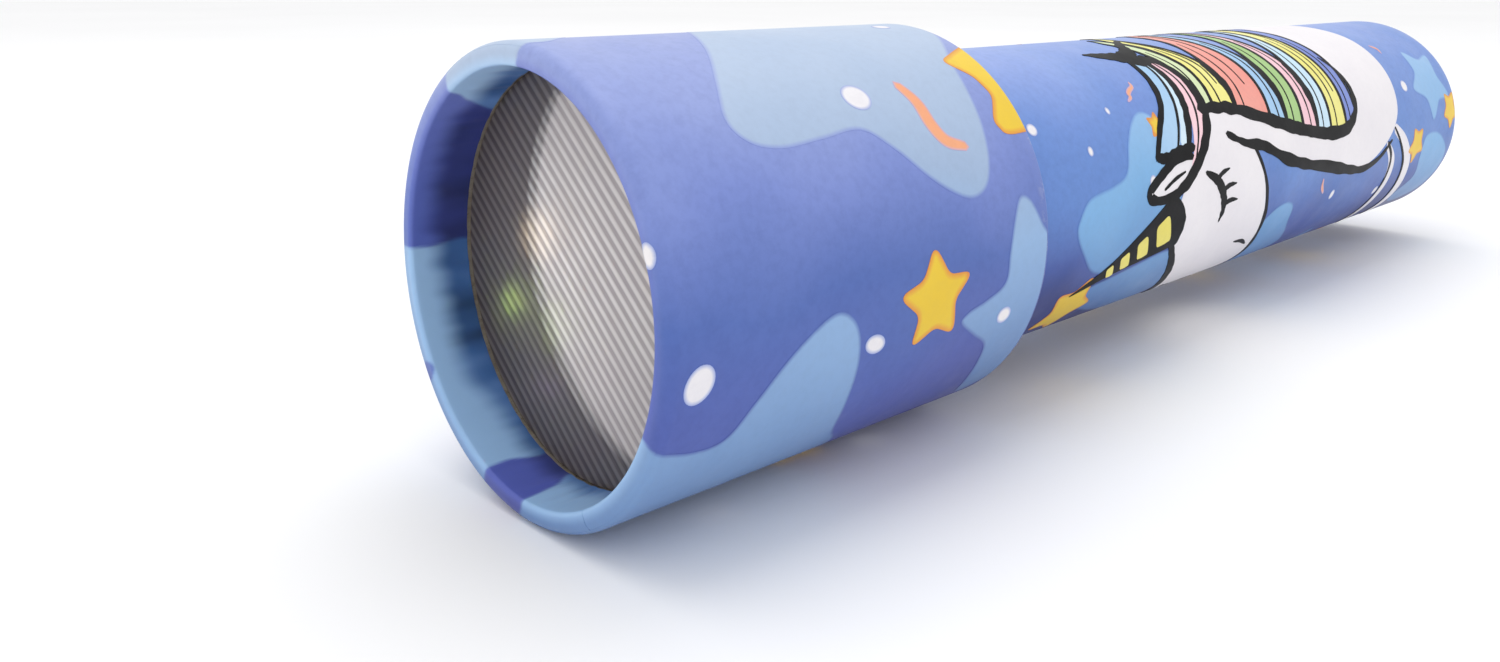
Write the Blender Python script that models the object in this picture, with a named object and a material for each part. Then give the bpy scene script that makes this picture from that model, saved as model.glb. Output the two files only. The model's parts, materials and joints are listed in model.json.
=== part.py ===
"""Tube kaleidoscope: a long card body tube with a three-mirror system inside,
and a wider head that turns on its front end. The head carries the object cell,
a sealed drum between a ribbed diffuser and a clear window, where loose
translucent pieces tumble as the head is turned.

Frame: metres, +Z up. The tube lies along X with the diffuser end at -X and the
eyepiece at +X. The origin is under the middle of the tube, on the surface that
the head rests on. Lengths below are in millimetres; s is the distance from the
front rim along the tube."""
import bpy
import bmesh
from math import pi, cos, sin, sqrt, radians
from mathutils import Matrix, Vector

# ---- driving dimensions (mm) ------------------------------------------------
L_TOTAL = 215.0          # front rim to tail rim
L_HEAD = 57.0            # length of the turning head
R_HEAD = 25.0            # outside of the head's printed wrap
R_BODY = 21.1            # outside of the body's printed wrap
T_PAPER = 0.3            # printed wrap, glue included
GAP = 0.3                # glue line or clearance kept between touching pieces
R_HEAD_TUBE = R_HEAD - T_PAPER - GAP          # 24.4
R_HEAD_BORE = 23.0       # inside of the head's card tube
R_BODY_TUBE = R_BODY - T_PAPER - GAP          # 20.5
R_BODY_BORE = 18.9       # inside of the body's card tube
R_FLAP = 22.4            # face of the wrap where it is turned into the front rim
S_FLAP = 7.2             # how far that flap goes in
S_DIFFUSER = 7.5         # front face of the ribbed diffuser
T_DISC = 0.8             # diffuser and window thickness
S_WINDOW = 19.9          # front face of the clear window behind the loose pieces
S_BODY_TUBE = 25.0       # front end of the body tube, inside the head
S_COLLAR = 34.0          # where the head's bearing sleeve begins
MIRROR_D = 8.6           # axis to each mirror's face
MIRROR_W = 29.2          # mirror strip width
MIRROR_T = 1.5           # mirror strip thickness
S_MIRROR = (26.3, 205.0)
R_EYE = 5.5              # eye hole
N_OUT = 64               # facets round the two wraps and the two tubes
N_IN = 48                # facets round the inner rings and discs

MM = 0.001
AXIS_Z = R_HEAD * cos(pi / N_OUT)   # mm: a flat facet of the head is undermost


def x_of(s):
    return s - L_TOTAL / 2.0


# ---- start from an empty scene ----------------------------------------------
for ob in list(bpy.data.objects):
    bpy.data.objects.remove(ob, do_unlink=True)

COLL = bpy.context.scene.collection


def empty(name, parent=None):
    e = bpy.data.objects.new(name, None)
    e.empty_display_size = 0.03
    e.location = (0.0, 0.0, 0.0) if parent else (0.0, 0.0, AXIS_Z * MM)
    e.parent = parent
    COLL.objects.link(e)
    return e


TUBE_AXIS = empty("tube_axis")
HEAD_AXIS = empty("head_turn_axis", TUBE_AXIS)
TUMBLE = {k: empty("tumble_axis_" + k, HEAD_AXIS) for k in ("a", "b", "c", "d")}


def material(name, rgb, rough, metallic=0.0, alpha=1.0, transmission=0.0):
    m = bpy.data.materials.new(name)
    m.use_nodes = True
    p = m.node_tree.nodes["Principled BSDF"]
    p.inputs["Base Color"].default_value = (rgb[0], rgb[1], rgb[2], 1.0)
    p.inputs["Roughness"].default_value = rough
    p.inputs["Metallic"].default_value = metallic
    p.inputs["Alpha"].default_value = alpha
    p.inputs["Transmission Weight"].default_value = transmission
    m.diffuse_color = (rgb[0], rgb[1], rgb[2], alpha)
    return m


def finish(name, bm, parent, mat, sharp=30.0):
    """Close, orient and link a mesh built in millimetres about the tube's axis."""
    bmesh.ops.remove_doubles(bm, verts=bm.verts[:], dist=1e-4)
    bmesh.ops.recalc_face_normals(bm, faces=bm.faces[:])
    bmesh.ops.scale(bm, vec=(MM, MM, MM), verts=bm.verts[:])
    me = bpy.data.meshes.new(name)
    bm.to_mesh(me)
    bm.free()
    me.shade_smooth()
    me.set_sharp_from_angle(angle=radians(sharp))
    me.materials.append(mat)
    ob = bpy.data.objects.new(name, me)
    ob.parent = parent
    COLL.objects.link(ob)
    return ob


def turned(name, profile, parent, mat, n):
    """A piece turned about the tube's axis from (s, r) points. A profile that
    starts and ends on the axis makes a disc, any other one is closed to a ring."""
    bm = bmesh.new()
    a0 = pi / n                      # half a facet, so a flat is undermost
    vs = [bm.verts.new((x_of(s), r * sin(a0), -r * cos(a0))) for s, r in profile]
    on_axis = profile[0][1] == 0.0 and profile[-1][1] == 0.0
    last = len(vs) - 1 if on_axis else len(vs)
    for i in range(last):
        bm.edges.new((vs[i], vs[(i + 1) % len(vs)]))
    bmesh.ops.spin(bm, geom=bm.verts[:] + bm.edges[:], cent=(0, 0, 0),
                   axis=(1, 0, 0), dvec=(0, 0, 0), angle=2 * pi, steps=n,
                   use_merge=True, use_duplicate=False)
    return finish(name, bm, parent, mat)


def ring(name, s0, s1, r_out, r_in, parent, mat, n=N_IN):
    return turned(name, [(s0, r_in), (s0, r_out), (s1, r_out), (s1, r_in)],
                  parent, mat, n)


def disc(name, s0, s1, r, parent, mat, n=N_IN):
    return turned(name, [(s0, 0.0), (s0, r), (s1, r), (s1, 0.0)], parent, mat, n)


def prism(name, outline, holes, depth, place, parent, mat, sharp=30.0):
    """Extrude a flat outline (u, v), with any holes, by depth along w, centred
    on w = 0, then put it in place with a 4x4 matrix."""
    bm = bmesh.new()
    for loop in [outline] + holes:
        vs = [bm.verts.new((u, v, -depth / 2.0)) for u, v in loop]
        for i in range(len(vs)):
            bm.edges.new((vs[i], vs[(i + 1) % len(vs)]))
    bmesh.ops.triangle_fill(bm, edges=bm.edges[:], use_beauty=True,
                            use_dissolve=False, normal=(0, 0, 1))
    out = bmesh.ops.extrude_face_region(bm, geom=bm.faces[:])
    top = [g for g in out["geom"] if isinstance(g, bmesh.types.BMVert)]
    bmesh.ops.translate(bm, vec=(0, 0, depth), verts=top)
    bmesh.ops.transform(bm, matrix=place, verts=bm.verts[:])
    return finish(name, bm, parent, mat, sharp)


def circle(r, n, a0=0.0):
    return [(r * cos(a0 + 2 * pi * i / n), r * sin(a0 + 2 * pi * i / n))
            for i in range(n)]


def arc(cs, cr, r, a_from, a_to, n):
    """Points of a rounded edge in the (s, r) profile plane."""
    return [(cs + r * cos(radians(a_from + (a_to - a_from) * i / n)),
             cr + r * sin(radians(a_from + (a_to - a_from) * i / n)))
            for i in range(n + 1)]


# ---- materials --------------------------------------------------------------
HEAD_PRINT = material("head_print", (0.24, 0.33, 0.58), 0.42)
BODY_PRINT = material("body_print", (0.13, 0.26, 0.55), 0.42)
CARD = material("grey_card", (0.42, 0.38, 0.32), 0.9)
CARD_B = material("body_card", (0.40, 0.36, 0.30), 0.9)


# ---- head: wrap, tube, diffuser, cell, sleeve ---------------------------------
def head_wrap():
    """Printed paper, rounded over the front rim and turned in, and turned in
    again behind the head."""
    t = T_PAPER
    out = arc(1.2, R_HEAD - 1.2, 1.2, 90, 180, 3)               # front rim, outside
    out += arc(0.45, R_FLAP + 0.45, 0.45, 180, 270, 2)          # into the recess
    out += [(S_FLAP, R_FLAP), (S_FLAP, R_FLAP + t)]
    out += [(0.45, R_FLAP + t), (t, R_FLAP + 0.45)]
    out += [(t, R_HEAD - 1.2), (0.55, R_HEAD - 0.55), (1.2, R_HEAD - t)]
    out += [(L_HEAD - t, R_HEAD - t), (L_HEAD - t, 21.6), (L_HEAD, 21.6)]
    out += [(L_HEAD, R_HEAD - 0.4), (L_HEAD - 0.4, R_HEAD)]
    return turned("head_wrap", out, HEAD_AXIS, HEAD_PRINT, N_OUT)


head_wrap()
turned("head_tube", [(1.3, R_HEAD_BORE), (1.3, R_HEAD_TUBE - 0.5), (1.8, R_HEAD_TUBE),
                     (L_HEAD - T_PAPER - GAP, R_HEAD_TUBE),
                     (L_HEAD - T_PAPER - GAP, R_HEAD_BORE)], HEAD_AXIS, CARD, N_OUT)
disc("diffuser_disc", S_DIFFUSER, S_DIFFUSER + T_DISC, 22.6, HEAD_AXIS,
     material("diffuser_plastic", (0.62, 0.60, 0.56), 0.35, alpha=0.85, transmission=0.4))
ring("cell_ring", 8.6, 19.6, 22.6, 21.4, HEAD_AXIS, material("cell_card", (0.75, 0.73, 0.68), 0.85))
disc("cell_window", S_WINDOW, S_WINDOW + T_DISC, 22.6, HEAD_AXIS,
     material("window_clear", (0.92, 0.94, 0.95), 0.08, alpha=0.3, transmission=0.9))
ring("window_retainer", 21.0, 24.0, 22.6, 20.9, HEAD_AXIS, material("retainer_card", (0.36, 0.33, 0.28), 0.9))
ring("head_collar", S_COLLAR, L_HEAD - T_PAPER - GAP, 22.7, 21.4, HEAD_AXIS,
     material("collar_card", (0.46, 0.41, 0.34), 0.88))


# ---- body: tube, wrap, collar, mirrors, eyepiece ------------------------------
def body_wrap():
    """Printed paper from under the head to the tail, turned in at the tail."""
    t = T_PAPER
    out = [(S_COLLAR + 0.3, R_BODY - t), (S_COLLAR + 0.3, R_BODY)]
    out += arc(L_TOTAL - 0.7, R_BODY - 0.7, 0.7, 90, 0, 2)
    out += [(L_TOTAL, 18.3 + 0.3), (L_TOTAL - 0.3, 18.3), (206.0, 18.3),
            (206.0, 18.3 + t), (L_TOTAL - t, 18.3 + t), (L_TOTAL - t, R_BODY - 0.75),
            (L_TOTAL - 0.75, R_BODY - t)]
    return turned("body_wrap", out, TUBE_AXIS, BODY_PRINT, N_OUT)


body_wrap()
turned("body_tube", [(S_BODY_TUBE, R_BODY_BORE), (S_BODY_TUBE, R_BODY_TUBE),
                     (L_TOTAL - 1.3, R_BODY_TUBE), (L_TOTAL - 0.8, R_BODY_TUBE - 0.5),
                     (L_TOTAL - 0.8, R_BODY_BORE)], TUBE_AXIS, CARD_B, N_OUT)
ring("stop_collar", 25.3, 33.4, 22.6, 20.8, TUBE_AXIS, material("stop_card", (0.30, 0.27, 0.22), 0.9))

AXIAL = Matrix(((0, 0, 1, 0), (1, 0, 0, 0), (0, 1, 0, 0), (0, 0, 0, 1)))   # u->Y, v->Z, w->X


def at(s):
    return Matrix.Translation((x_of(s), 0, 0)) @ AXIAL


MASK_IN = MIRROR_D - 0.4
prism("front_mask", circle(18.6, N_IN, pi / N_IN),
      [[(2 * MASK_IN * cos(radians(-90 + 120 * k + 60)), 2 * MASK_IN * sin(radians(-90 + 120 * k + 60)))
        for k in range(3)]],
      0.8, at(25.6), TUBE_AXIS, material("mask_card", (0.012, 0.012, 0.014), 0.8))

MIRROR = material("mirror_glass", (0.92, 0.93, 0.93), 0.03, metallic=1.0)
BACKING = material("mirror_backing_card", (0.20, 0.18, 0.16), 0.9)
FOAM = material("pad_foam", (0.74, 0.72, 0.66), 0.95)
S_MID = (S_MIRROR[0] + S_MIRROR[1]) / 2.0
S_LEN = S_MIRROR[1] - S_MIRROR[0]


def strip(name, d0, d1, width, s_mid, s_len, turn, mat):
    """A flat strip lying along the tube, d0 to d1 out from the axis."""
    h = width / 2.0
    place = Matrix.Translation((x_of(s_mid), 0, 0)) @ Matrix.Rotation(radians(turn), 4, "X") @ AXIAL
    prism(name, [(-h, -d1), (h, -d1), (h, -d0), (-h, -d0)], [], s_len, place, TUBE_AXIS, mat)


for k, word in enumerate(("lower", "left", "right")):
    turn = 120.0 * k
    strip("mirror_" + word, MIRROR_D, MIRROR_D + MIRROR_T, MIRROR_W, S_MID, S_LEN, turn, MIRROR)
    d_card = MIRROR_D + MIRROR_T + GAP
    strip("mirror_backing_" + word, d_card, d_card + 0.6, 27.0, S_MID, S_LEN - 2.0, turn, BACKING)
    d_pad = d_card + 0.6 + GAP
    half = sqrt(18.6 ** 2 - d_pad ** 2) * 0.9
    for s_pad, end in ((48.0, "front"), (182.0, "rear")):
        r_pad = 18.55
        n_arc = 8
        us = [half * (1 - 2 * i / n_arc) for i in range(n_arc + 1)]
        outline = [(-half, -d_pad), (half, -d_pad)] + [(u, -sqrt(r_pad ** 2 - u * u)) for u in us]
        place = Matrix.Translation((x_of(s_pad), 0, 0)) @ Matrix.Rotation(radians(turn), 4, "X") @ AXIAL
        prism("pad_%s_%s" % (end, word), outline, [], 24.0, place, TUBE_AXIS, FOAM)

ring("eye_window_ring", 206.0, 207.9, 18.0, 16.6, TUBE_AXIS, material("eye_ring_card", (0.05, 0.05, 0.055), 0.85))
disc("eye_window", 208.2, 209.0, 18.0, TUBE_AXIS,
     material("eye_window_clear", (0.92, 0.94, 0.95), 0.06, alpha=0.3, transmission=0.9))
ring("eyepiece_spacer", 209.3, 211.7, 18.0, 16.6, TUBE_AXIS, material("spacer_card", (0.05, 0.05, 0.055), 0.85))
ring("eyepiece_plate", 212.0, 213.2, 18.0, R_EYE, TUBE_AXIS, material("eyepiece_card", (0.16, 0.24, 0.48), 0.5))


# ---- loose pieces ---------------------------------------------------------------
# Each group swings about the tube's axis in its own ring of the cell, and hangs
# at the bottom with its two sides alike, so its weight is right below the axis.
def lobed(r, lobes, depth, n):
    return [(r * (1 - depth + depth * cos(lobes * a)) * sin(a), r * (1 - depth + depth * cos(lobes * a)) * cos(a))
            for a in [2 * pi * i / n for i in range(n)]]


def leaf_outline(half_w, half_h, n=7):
    side = [(half_w * sin(pi * i / n) ** 0.9 * (1.0 - 0.25 * cos(pi * i / n)), half_h * (2.0 * i / n - 1.0))
            for i in range(1, n)]
    return [(0.0, -half_h)] + side + [(0.0, half_h)] + [(-u, v) for u, v in reversed(side)]


def bow_outline(half_l, sag, w, n=6):
    low = [(half_l * (2.0 * i / n - 1.0), -sag * (1 - (2.0 * i / n - 1.0) ** 2)) for i in range(n + 1)]
    top = [(u * 0.9, v + w * (1 - 0.5 * abs(u) / half_l)) for u, v in reversed(low)]
    return low + top


def place_piece(angle, radius, s, spin):
    """Angle from straight down, positive towards +Y; spin turns it in its plane."""
    a = radians(angle)
    radial = Vector((0, sin(a), -cos(a)))
    tangent = Vector((0, cos(a), sin(a)))
    frame = Matrix(((0, 0, 1), (tangent.y, radial.y, 0), (tangent.z, radial.z, 0))).to_4x4()
    return (Matrix.Translation((x_of(s), radius * radial.y, radius * radial.z)) @ frame
            @ Matrix.Rotation(radians(spin), 4, "Z"))


def hoop(name, r_major, r_minor, place, parent, mat, n=12, m=6):
    bm = bmesh.new()
    vs = [bm.verts.new((r_major + r_minor * cos(2 * pi * j / m), 0, r_minor * sin(2 * pi * j / m)))
          for j in range(m)]
    for j in range(m):
        bm.edges.new((vs[j], vs[(j + 1) % m]))
    bmesh.ops.spin(bm, geom=bm.verts[:] + bm.edges[:], cent=(0, 0, 0), axis=(0, 0, 1),
                   dvec=(0, 0, 0), angle=2 * pi, steps=n, use_merge=True, use_duplicate=False)
    bmesh.ops.transform(bm, matrix=place, verts=bm.verts[:])
    finish(name, bm, parent, mat)


def gem(name, r, depth, place, parent, mat, n=6):
    """A cut bead: a table, a girdle and a table, turned with n flats."""
    bm = bmesh.new()
    rows = [(0.55 * r, -depth / 2), (r, 0.0), (0.55 * r, depth / 2)]
    loops = [[bm.verts.new((q * cos(2 * pi * i / n), q * sin(2 * pi * i / n), w)) for i in range(n)]
             for q, w in rows]
    bm.faces.new(list(reversed(loops[0])))
    bm.faces.new(loops[2])
    for a, b in ((0, 1), (1, 2)):
        for i in range(n):
            j = (i + 1) % n
            bm.faces.new((loops[a][i], loops[a][j], loops[b][j], loops[b][i]))
    bmesh.ops.transform(bm, matrix=place, verts=bm.verts[:])
    finish(name, bm, parent, mat, 20.0)


RED = ("red", (0.72, 0.03, 0.04), 0.7)
GREEN = ("green", (0.05, 0.42, 0.12), 0.7)
YELLOW = ("yellow", (0.85, 0.62, 0.03), 0.75)
OLIVE = ("olive", (0.20, 0.24, 0.04), 0.85)
VIOLET = ("violet", (0.55, 0.45, 0.80), 0.6)
CLEAR = ("clear", (0.90, 0.93, 0.95), 0.35)
PINK = ("pink", (0.80, 0.22, 0.40), 0.7)
BLUE = ("blue", (0.08, 0.22, 0.75), 0.7)


def loose(kind, hue, group, index, angle, radius, s, spin, size=1.0):
    name = "%s_%s_%s%d" % (kind, hue[0], group, index)
    mat = material(name + "_plastic", hue[1], 0.15, alpha=hue[2], transmission=0.5)
    place = place_piece(angle, radius, s, spin)
    up = TUMBLE[group]
    if kind == "flower":
        prism(name, lobed(2.15 * size, 5, 0.16, 30), [circle(0.45 * size, 6)], 1.6 * size, place, up, mat)
    elif kind == "clover":
        prism(name, lobed(2.15 * size, 3, 0.22, 24), [], 1.3 * size, place, up, mat)
    elif kind == "leaf":
        prism(name, leaf_outline(1.35 * size, 2.15 * size), [], 0.9, place, up, mat)
    elif kind == "sliver":
        prism(name, bow_outline(2.2 * size, 0.7 * size, 0.9 * size), [], 0.7, place, up, mat)
    elif kind == "hoop":
        hoop(name, 1.45 * size, 0.6 * size, place, up, mat)
    elif kind == "gem":
        gem(name, 2.0 * size, 2.0 * size, place, up, mat)


# group, orbit radius, layer s, size factor, step in degrees, five kinds and hues
GROUPS = (
    ("a", 18.7, 11.3, 1.00, 35.0, (("flower", RED), ("sliver", VIOLET), ("leaf", GREEN))),
    ("b", 12.1, 11.3, 1.55, 50.0, (("flower", PINK), ("leaf", GREEN), ("gem", CLEAR))),
    ("c", 18.7, 16.9, 1.00, 19.0, (("clover", OLIVE), ("gem", BLUE), ("hoop", YELLOW))),
    ("d", 12.1, 16.9, 1.55, 37.0, (("sliver", VIOLET), ("hoop", YELLOW), ("flower", RED))),
)
for group, radius, s, size, step, kinds in GROUPS:
    index = 1
    for j in (-2, -1, 0, 1, 2):
        kind, hue = kinds[abs(j)]
        spin = (18.0 + 22.0 * abs(j)) * (1 if j > 0 else -1 if j < 0 else 0)
        loose(kind, hue, group, index, j * step, radius, s, spin, size)
        index += 1
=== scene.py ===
import json
import math
import random
import bmesh
import bpy
import numpy as np
from mathutils import Matrix, Vector, noise
from mathutils.geometry import delaunay_2d_cdt

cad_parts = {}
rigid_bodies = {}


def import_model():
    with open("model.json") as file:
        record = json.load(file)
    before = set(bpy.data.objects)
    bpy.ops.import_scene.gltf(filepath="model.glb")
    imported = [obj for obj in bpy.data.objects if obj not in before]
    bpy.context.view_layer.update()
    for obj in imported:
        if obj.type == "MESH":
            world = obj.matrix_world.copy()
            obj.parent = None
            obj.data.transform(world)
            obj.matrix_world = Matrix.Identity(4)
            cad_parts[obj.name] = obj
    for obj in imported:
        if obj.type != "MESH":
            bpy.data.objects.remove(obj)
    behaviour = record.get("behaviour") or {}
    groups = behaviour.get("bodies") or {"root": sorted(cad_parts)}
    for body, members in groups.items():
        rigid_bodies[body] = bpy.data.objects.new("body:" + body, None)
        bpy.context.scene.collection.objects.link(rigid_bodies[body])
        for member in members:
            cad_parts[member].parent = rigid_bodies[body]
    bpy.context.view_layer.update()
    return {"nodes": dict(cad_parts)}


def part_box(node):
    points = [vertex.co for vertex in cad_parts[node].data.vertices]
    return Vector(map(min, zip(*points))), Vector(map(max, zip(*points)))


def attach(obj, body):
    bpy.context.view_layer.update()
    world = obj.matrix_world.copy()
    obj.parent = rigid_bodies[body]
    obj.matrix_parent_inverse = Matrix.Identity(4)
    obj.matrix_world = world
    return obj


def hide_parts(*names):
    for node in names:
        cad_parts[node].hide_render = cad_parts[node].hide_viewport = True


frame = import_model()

# The tube lies along X. s is the distance from the front rim in mm, and phi the
# angle round the tube in degrees, 0 on top and 90 on the side facing -Y.
MM = 0.001
LO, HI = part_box("head_wrap")
X0 = LO.x                                   # front rim
AZ = (LO.z + HI.z) / 2.0                    # the tube's axis
R_HEAD = (HI.z - LO.z) / 2.0 / MM - 0.06    # the printed face, just inside the CAD's facets
LB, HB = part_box("body_wrap")
R_BODY = (HB.z - LB.z) / 2.0 / MM - 0.06
S_TAIL = (HB.x - X0) / MM
S_HEAD = (HI.x - X0) / MM

# ---- camera -------------------------------------------------------------------
cam_data = bpy.data.cameras.new("camera")
cam = bpy.data.objects.new("camera", cam_data)
bpy.context.scene.collection.objects.link(cam)
right = Vector((0.714558, -0.699576, 0.0)).normalized()
ahead = Vector((0.690241, 0.705023, -0.162816)).normalized()
up = right.cross(ahead).normalized()
right = ahead.cross(up).normalized()
turn = Matrix((right, up, -ahead)).transposed().to_4x4()
cam.matrix_world = Matrix.Translation((-0.167181, -0.101874, 0.056150)) @ turn
cam_data.sensor_width = 36.0
cam_data.lens = 1180.058 / 1500.0 * 36.0
cam_data.shift_x = (750.0 - 800.61) / 1500.0
cam_data.shift_y = (169.64 - 331.0) / 1500.0
cam_data.clip_start = 0.005
cam_data.clip_end = 20.0
cam_data.dof.use_dof = False
bpy.context.scene.camera = cam
bpy.context.scene.view_settings.view_transform = "Standard"


# ---- materials ------------------------------------------------------------------
def lin(r, g, b):
    """sRGB 0..255 to linear."""
    out = []
    for c in (r, g, b):
        c /= 255.0
        out.append(c / 12.92 if c <= 0.04045 else ((c + 0.055) / 1.055) ** 2.4)
    return (out[0], out[1], out[2], 1.0)


class Nodes:
    """A small helper that builds a node tree with a Principled shader."""

    def __init__(self, name, **fixed):
        self.mat = bpy.data.materials.new(name)
        self.mat.use_nodes = True
        self.nt = self.mat.node_tree
        self.p = self.nt.nodes["Principled BSDF"]
        for k, v in fixed.items():
            self.p.inputs[k.replace("_", " ")].default_value = v
        self.coord = self.nt.nodes.new("ShaderNodeTexCoord").outputs["Object"]

    def link(self, a, b):
        self.nt.links.new(a, b)

    def noise(self, scale, detail=3.0, rough=0.55, vector=None, distortion=0.0):
        n = self.nt.nodes.new("ShaderNodeTexNoise")
        n.inputs["Scale"].default_value = scale
        n.inputs["Detail"].default_value = detail
        n.inputs["Roughness"].default_value = rough
        n.inputs["Distortion"].default_value = distortion
        self.link(vector if vector is not None else self.coord, n.inputs["Vector"])
        return n.outputs["Fac"]

    def voronoi(self, scale, feature="F1", vector=None):
        n = self.nt.nodes.new("ShaderNodeTexVoronoi")
        n.feature = feature
        n.inputs["Scale"].default_value = scale
        self.link(vector if vector is not None else self.coord, n.inputs["Vector"])
        return n.outputs["Distance"]

    def wave(self, scale, distortion=0.0, direction="X", vector=None, detail=1.0):
        n = self.nt.nodes.new("ShaderNodeTexWave")
        n.bands_direction = direction
        n.inputs["Scale"].default_value = scale
        n.inputs["Distortion"].default_value = distortion
        n.inputs["Detail"].default_value = detail
        self.link(vector if vector is not None else self.coord, n.inputs["Vector"])
        return n.outputs["Fac"]

    def stretched(self, sx, sy, sz, turn=(0.0, 0.0, 0.0)):
        n = self.nt.nodes.new("ShaderNodeMapping")
        n.inputs["Scale"].default_value = (sx, sy, sz)
        n.inputs["Rotation"].default_value = turn
        self.link(self.coord, n.inputs["Vector"])
        return n.outputs["Vector"]

    def axis(self, which):
        n = self.nt.nodes.new("ShaderNodeSeparateXYZ")
        self.link(self.coord, n.inputs["Vector"])
        return n.outputs[which]

    def attribute(self, name):
        n = self.nt.nodes.new("ShaderNodeAttribute")
        n.attribute_name = name
        return n.outputs["Fac"]

    def remap(self, value, a0, a1, b0, b1):
        n = self.nt.nodes.new("ShaderNodeMapRange")
        n.inputs["From Min"].default_value = a0
        n.inputs["From Max"].default_value = a1
        n.inputs["To Min"].default_value = b0
        n.inputs["To Max"].default_value = b1
        self.link(value, n.inputs["Value"])
        return n.outputs["Result"]

    def math(self, op, a, b):
        n = self.nt.nodes.new("ShaderNodeMath")
        n.operation = op
        for i, v in enumerate((a, b)):
            if isinstance(v, (int, float)):
                n.inputs[i].default_value = v
            else:
                self.link(v, n.inputs[i])
        return n.outputs["Value"]

    def ramp(self, value, stops):
        n = self.nt.nodes.new("ShaderNodeValToRGB")
        els = n.color_ramp.elements
        while len(els) < len(stops):
            els.new(0.5)
        for e, (at, col) in zip(els, stops):
            e.position = at
            e.color = col
        self.link(value, n.inputs["Fac"])
        return n.outputs["Color"]

    def mix(self, factor, a, b, blend="MIX"):
        n = self.nt.nodes.new("ShaderNodeMix")
        n.data_type = "RGBA"
        n.blend_type = blend
        if isinstance(factor, (int, float)):
            n.inputs["Factor"].default_value = factor
        else:
            self.link(factor, n.inputs["Factor"])
        for key, v in (("A", a), ("B", b)):
            sock = [s for s in n.inputs if s.name == key and s.type == "RGBA"][0]
            if isinstance(v, tuple):
                sock.default_value = v
            else:
                self.link(v, sock)
        return [s for s in n.outputs if s.type == "RGBA"][0]

    def bump(self, height, strength, distance):
        n = self.nt.nodes.new("ShaderNodeBump")
        n.inputs["Strength"].default_value = strength
        n.inputs["Distance"].default_value = distance
        self.link(height, n.inputs["Height"])
        last = self.p.inputs["Normal"]
        if last.is_linked:
            self.link(last.links[0].from_socket, n.inputs["Normal"])
        self.link(n.outputs["Normal"], last)

    def colour(self, socket):
        self.link(socket, self.p.inputs["Base Color"])

    def rough(self, socket):
        self.link(socket, self.p.inputs["Roughness"])


def height_of(n):
    """0 under the tube to 1 on top of it, with a slow wander, for the print's gradient. The colours ramped by it are
    darker underneath and lighter on top, which is partly the print and partly painted shade.
    """
    z = n.axis("Z")
    wander = n.remap(n.noise(26.0, 2.0), 0.3, 0.7, -0.006, 0.006)
    return n.remap(n.math("ADD", z, wander), 0.0, 2.0 * AZ, 0.0, 1.0)


def print_finish(n, speck=1.0):
    """Laminated print: faint orange peel, fine paper tooth and a slightly uneven gloss."""
    tooth = n.noise(5200.0, 2.0, 0.6)
    peel = n.noise(420.0, 2.0, 0.5)
    n.bump(peel, 0.10, 0.0002)
    n.bump(tooth, 0.10 * speck, 0.00003)
    n.rough(n.remap(n.noise(160.0, 3.0), 0.3, 0.7, 0.36, 0.47))


def speckled(n, col, amount=0.22):
    """The fine dull grain of the print over a colour."""
    fine = n.noise(900.0, 3.0, 0.65)
    dull = n.mix(0.16, col, lin(90, 90, 110), "MIX")
    return n.mix(n.remap(fine, 0.42, 0.75, 0.0, amount * 2.0), col, dull)


def print_ground_and_shade(name, stops, pale=None):
    """The print's ground colour with painted shade: a gradient down the tube, darker underneath and lighter on top,
    which is partly the print and partly painted shade, mottled at three sizes. With pale given, the pale shapes are
    mixed in by the sheet's own pale attribute. Inside the rim, the wall is painted lighter by the inner attribute,
    which is painted light. The deep attribute mixes in painted shade that darkens towards the bottom of the recess,
    where the paper turns into the rim."""
    n = Nodes(name, Coat_Weight=0.08, Coat_Roughness=0.24, Specular_IOR_Level=0.32)
    col = n.ramp(height_of(n), stops)
    big = n.noise(48.0, 3.0, 0.6, distortion=0.4)
    col = n.mix(n.remap(big, 0.35, 0.7, 0.0, 0.16), col, lin(112, 128, 205), "MIX")
    fine = n.noise(900.0, 3.0, 0.65)
    dark = n.mix(0.22, col, lin(30, 45, 110), "MIX")
    col = n.mix(n.remap(fine, 0.40, 0.72, 0.0, 0.55), col, dark)
    if pale is not None:
        col = n.mix(n.attribute("pale"), col, speckled(n, n.ramp(height_of(n), pale)))
        # Painted light: the wall inside the rim is painted lighter, and paler still where the pale shapes run in.
        bright = n.mix(n.attribute("pale"), lin(92, 106, 194), lin(172, 212, 250))
        col = n.mix(n.math("MULTIPLY", n.attribute("inner"), 0.68), col, bright)
        # Painted shade: the recess darkens towards its bottom in soft streaks, navy on the ground and teal under the
        # pale shapes.
        streak = n.noise(170.0, 2.0, 0.5, vector=n.stretched(0.35, 1.0, 1.0))
        navy = n.ramp(streak, [(0.28, lin(36, 44, 88)), (0.66, lin(58, 68, 140))])
        teal = n.ramp(streak, [(0.26, lin(40, 68, 108)), (0.50, lin(66, 106, 164)), (0.74, lin(104, 144, 200))])
        col = n.mix(n.attribute("deep"), col, n.mix(n.attribute("pale"), navy, teal))
    worn = n.math("MULTIPLY", n.attribute("edge"), n.remap(n.noise(900.0, 4.0, 0.7), 0.52, 0.70, 0.0, 0.45))
    col = n.mix(worn, col, lin(206, 210, 228))
    n.colour(col)
    print_finish(n)
    return n.mat


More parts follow.
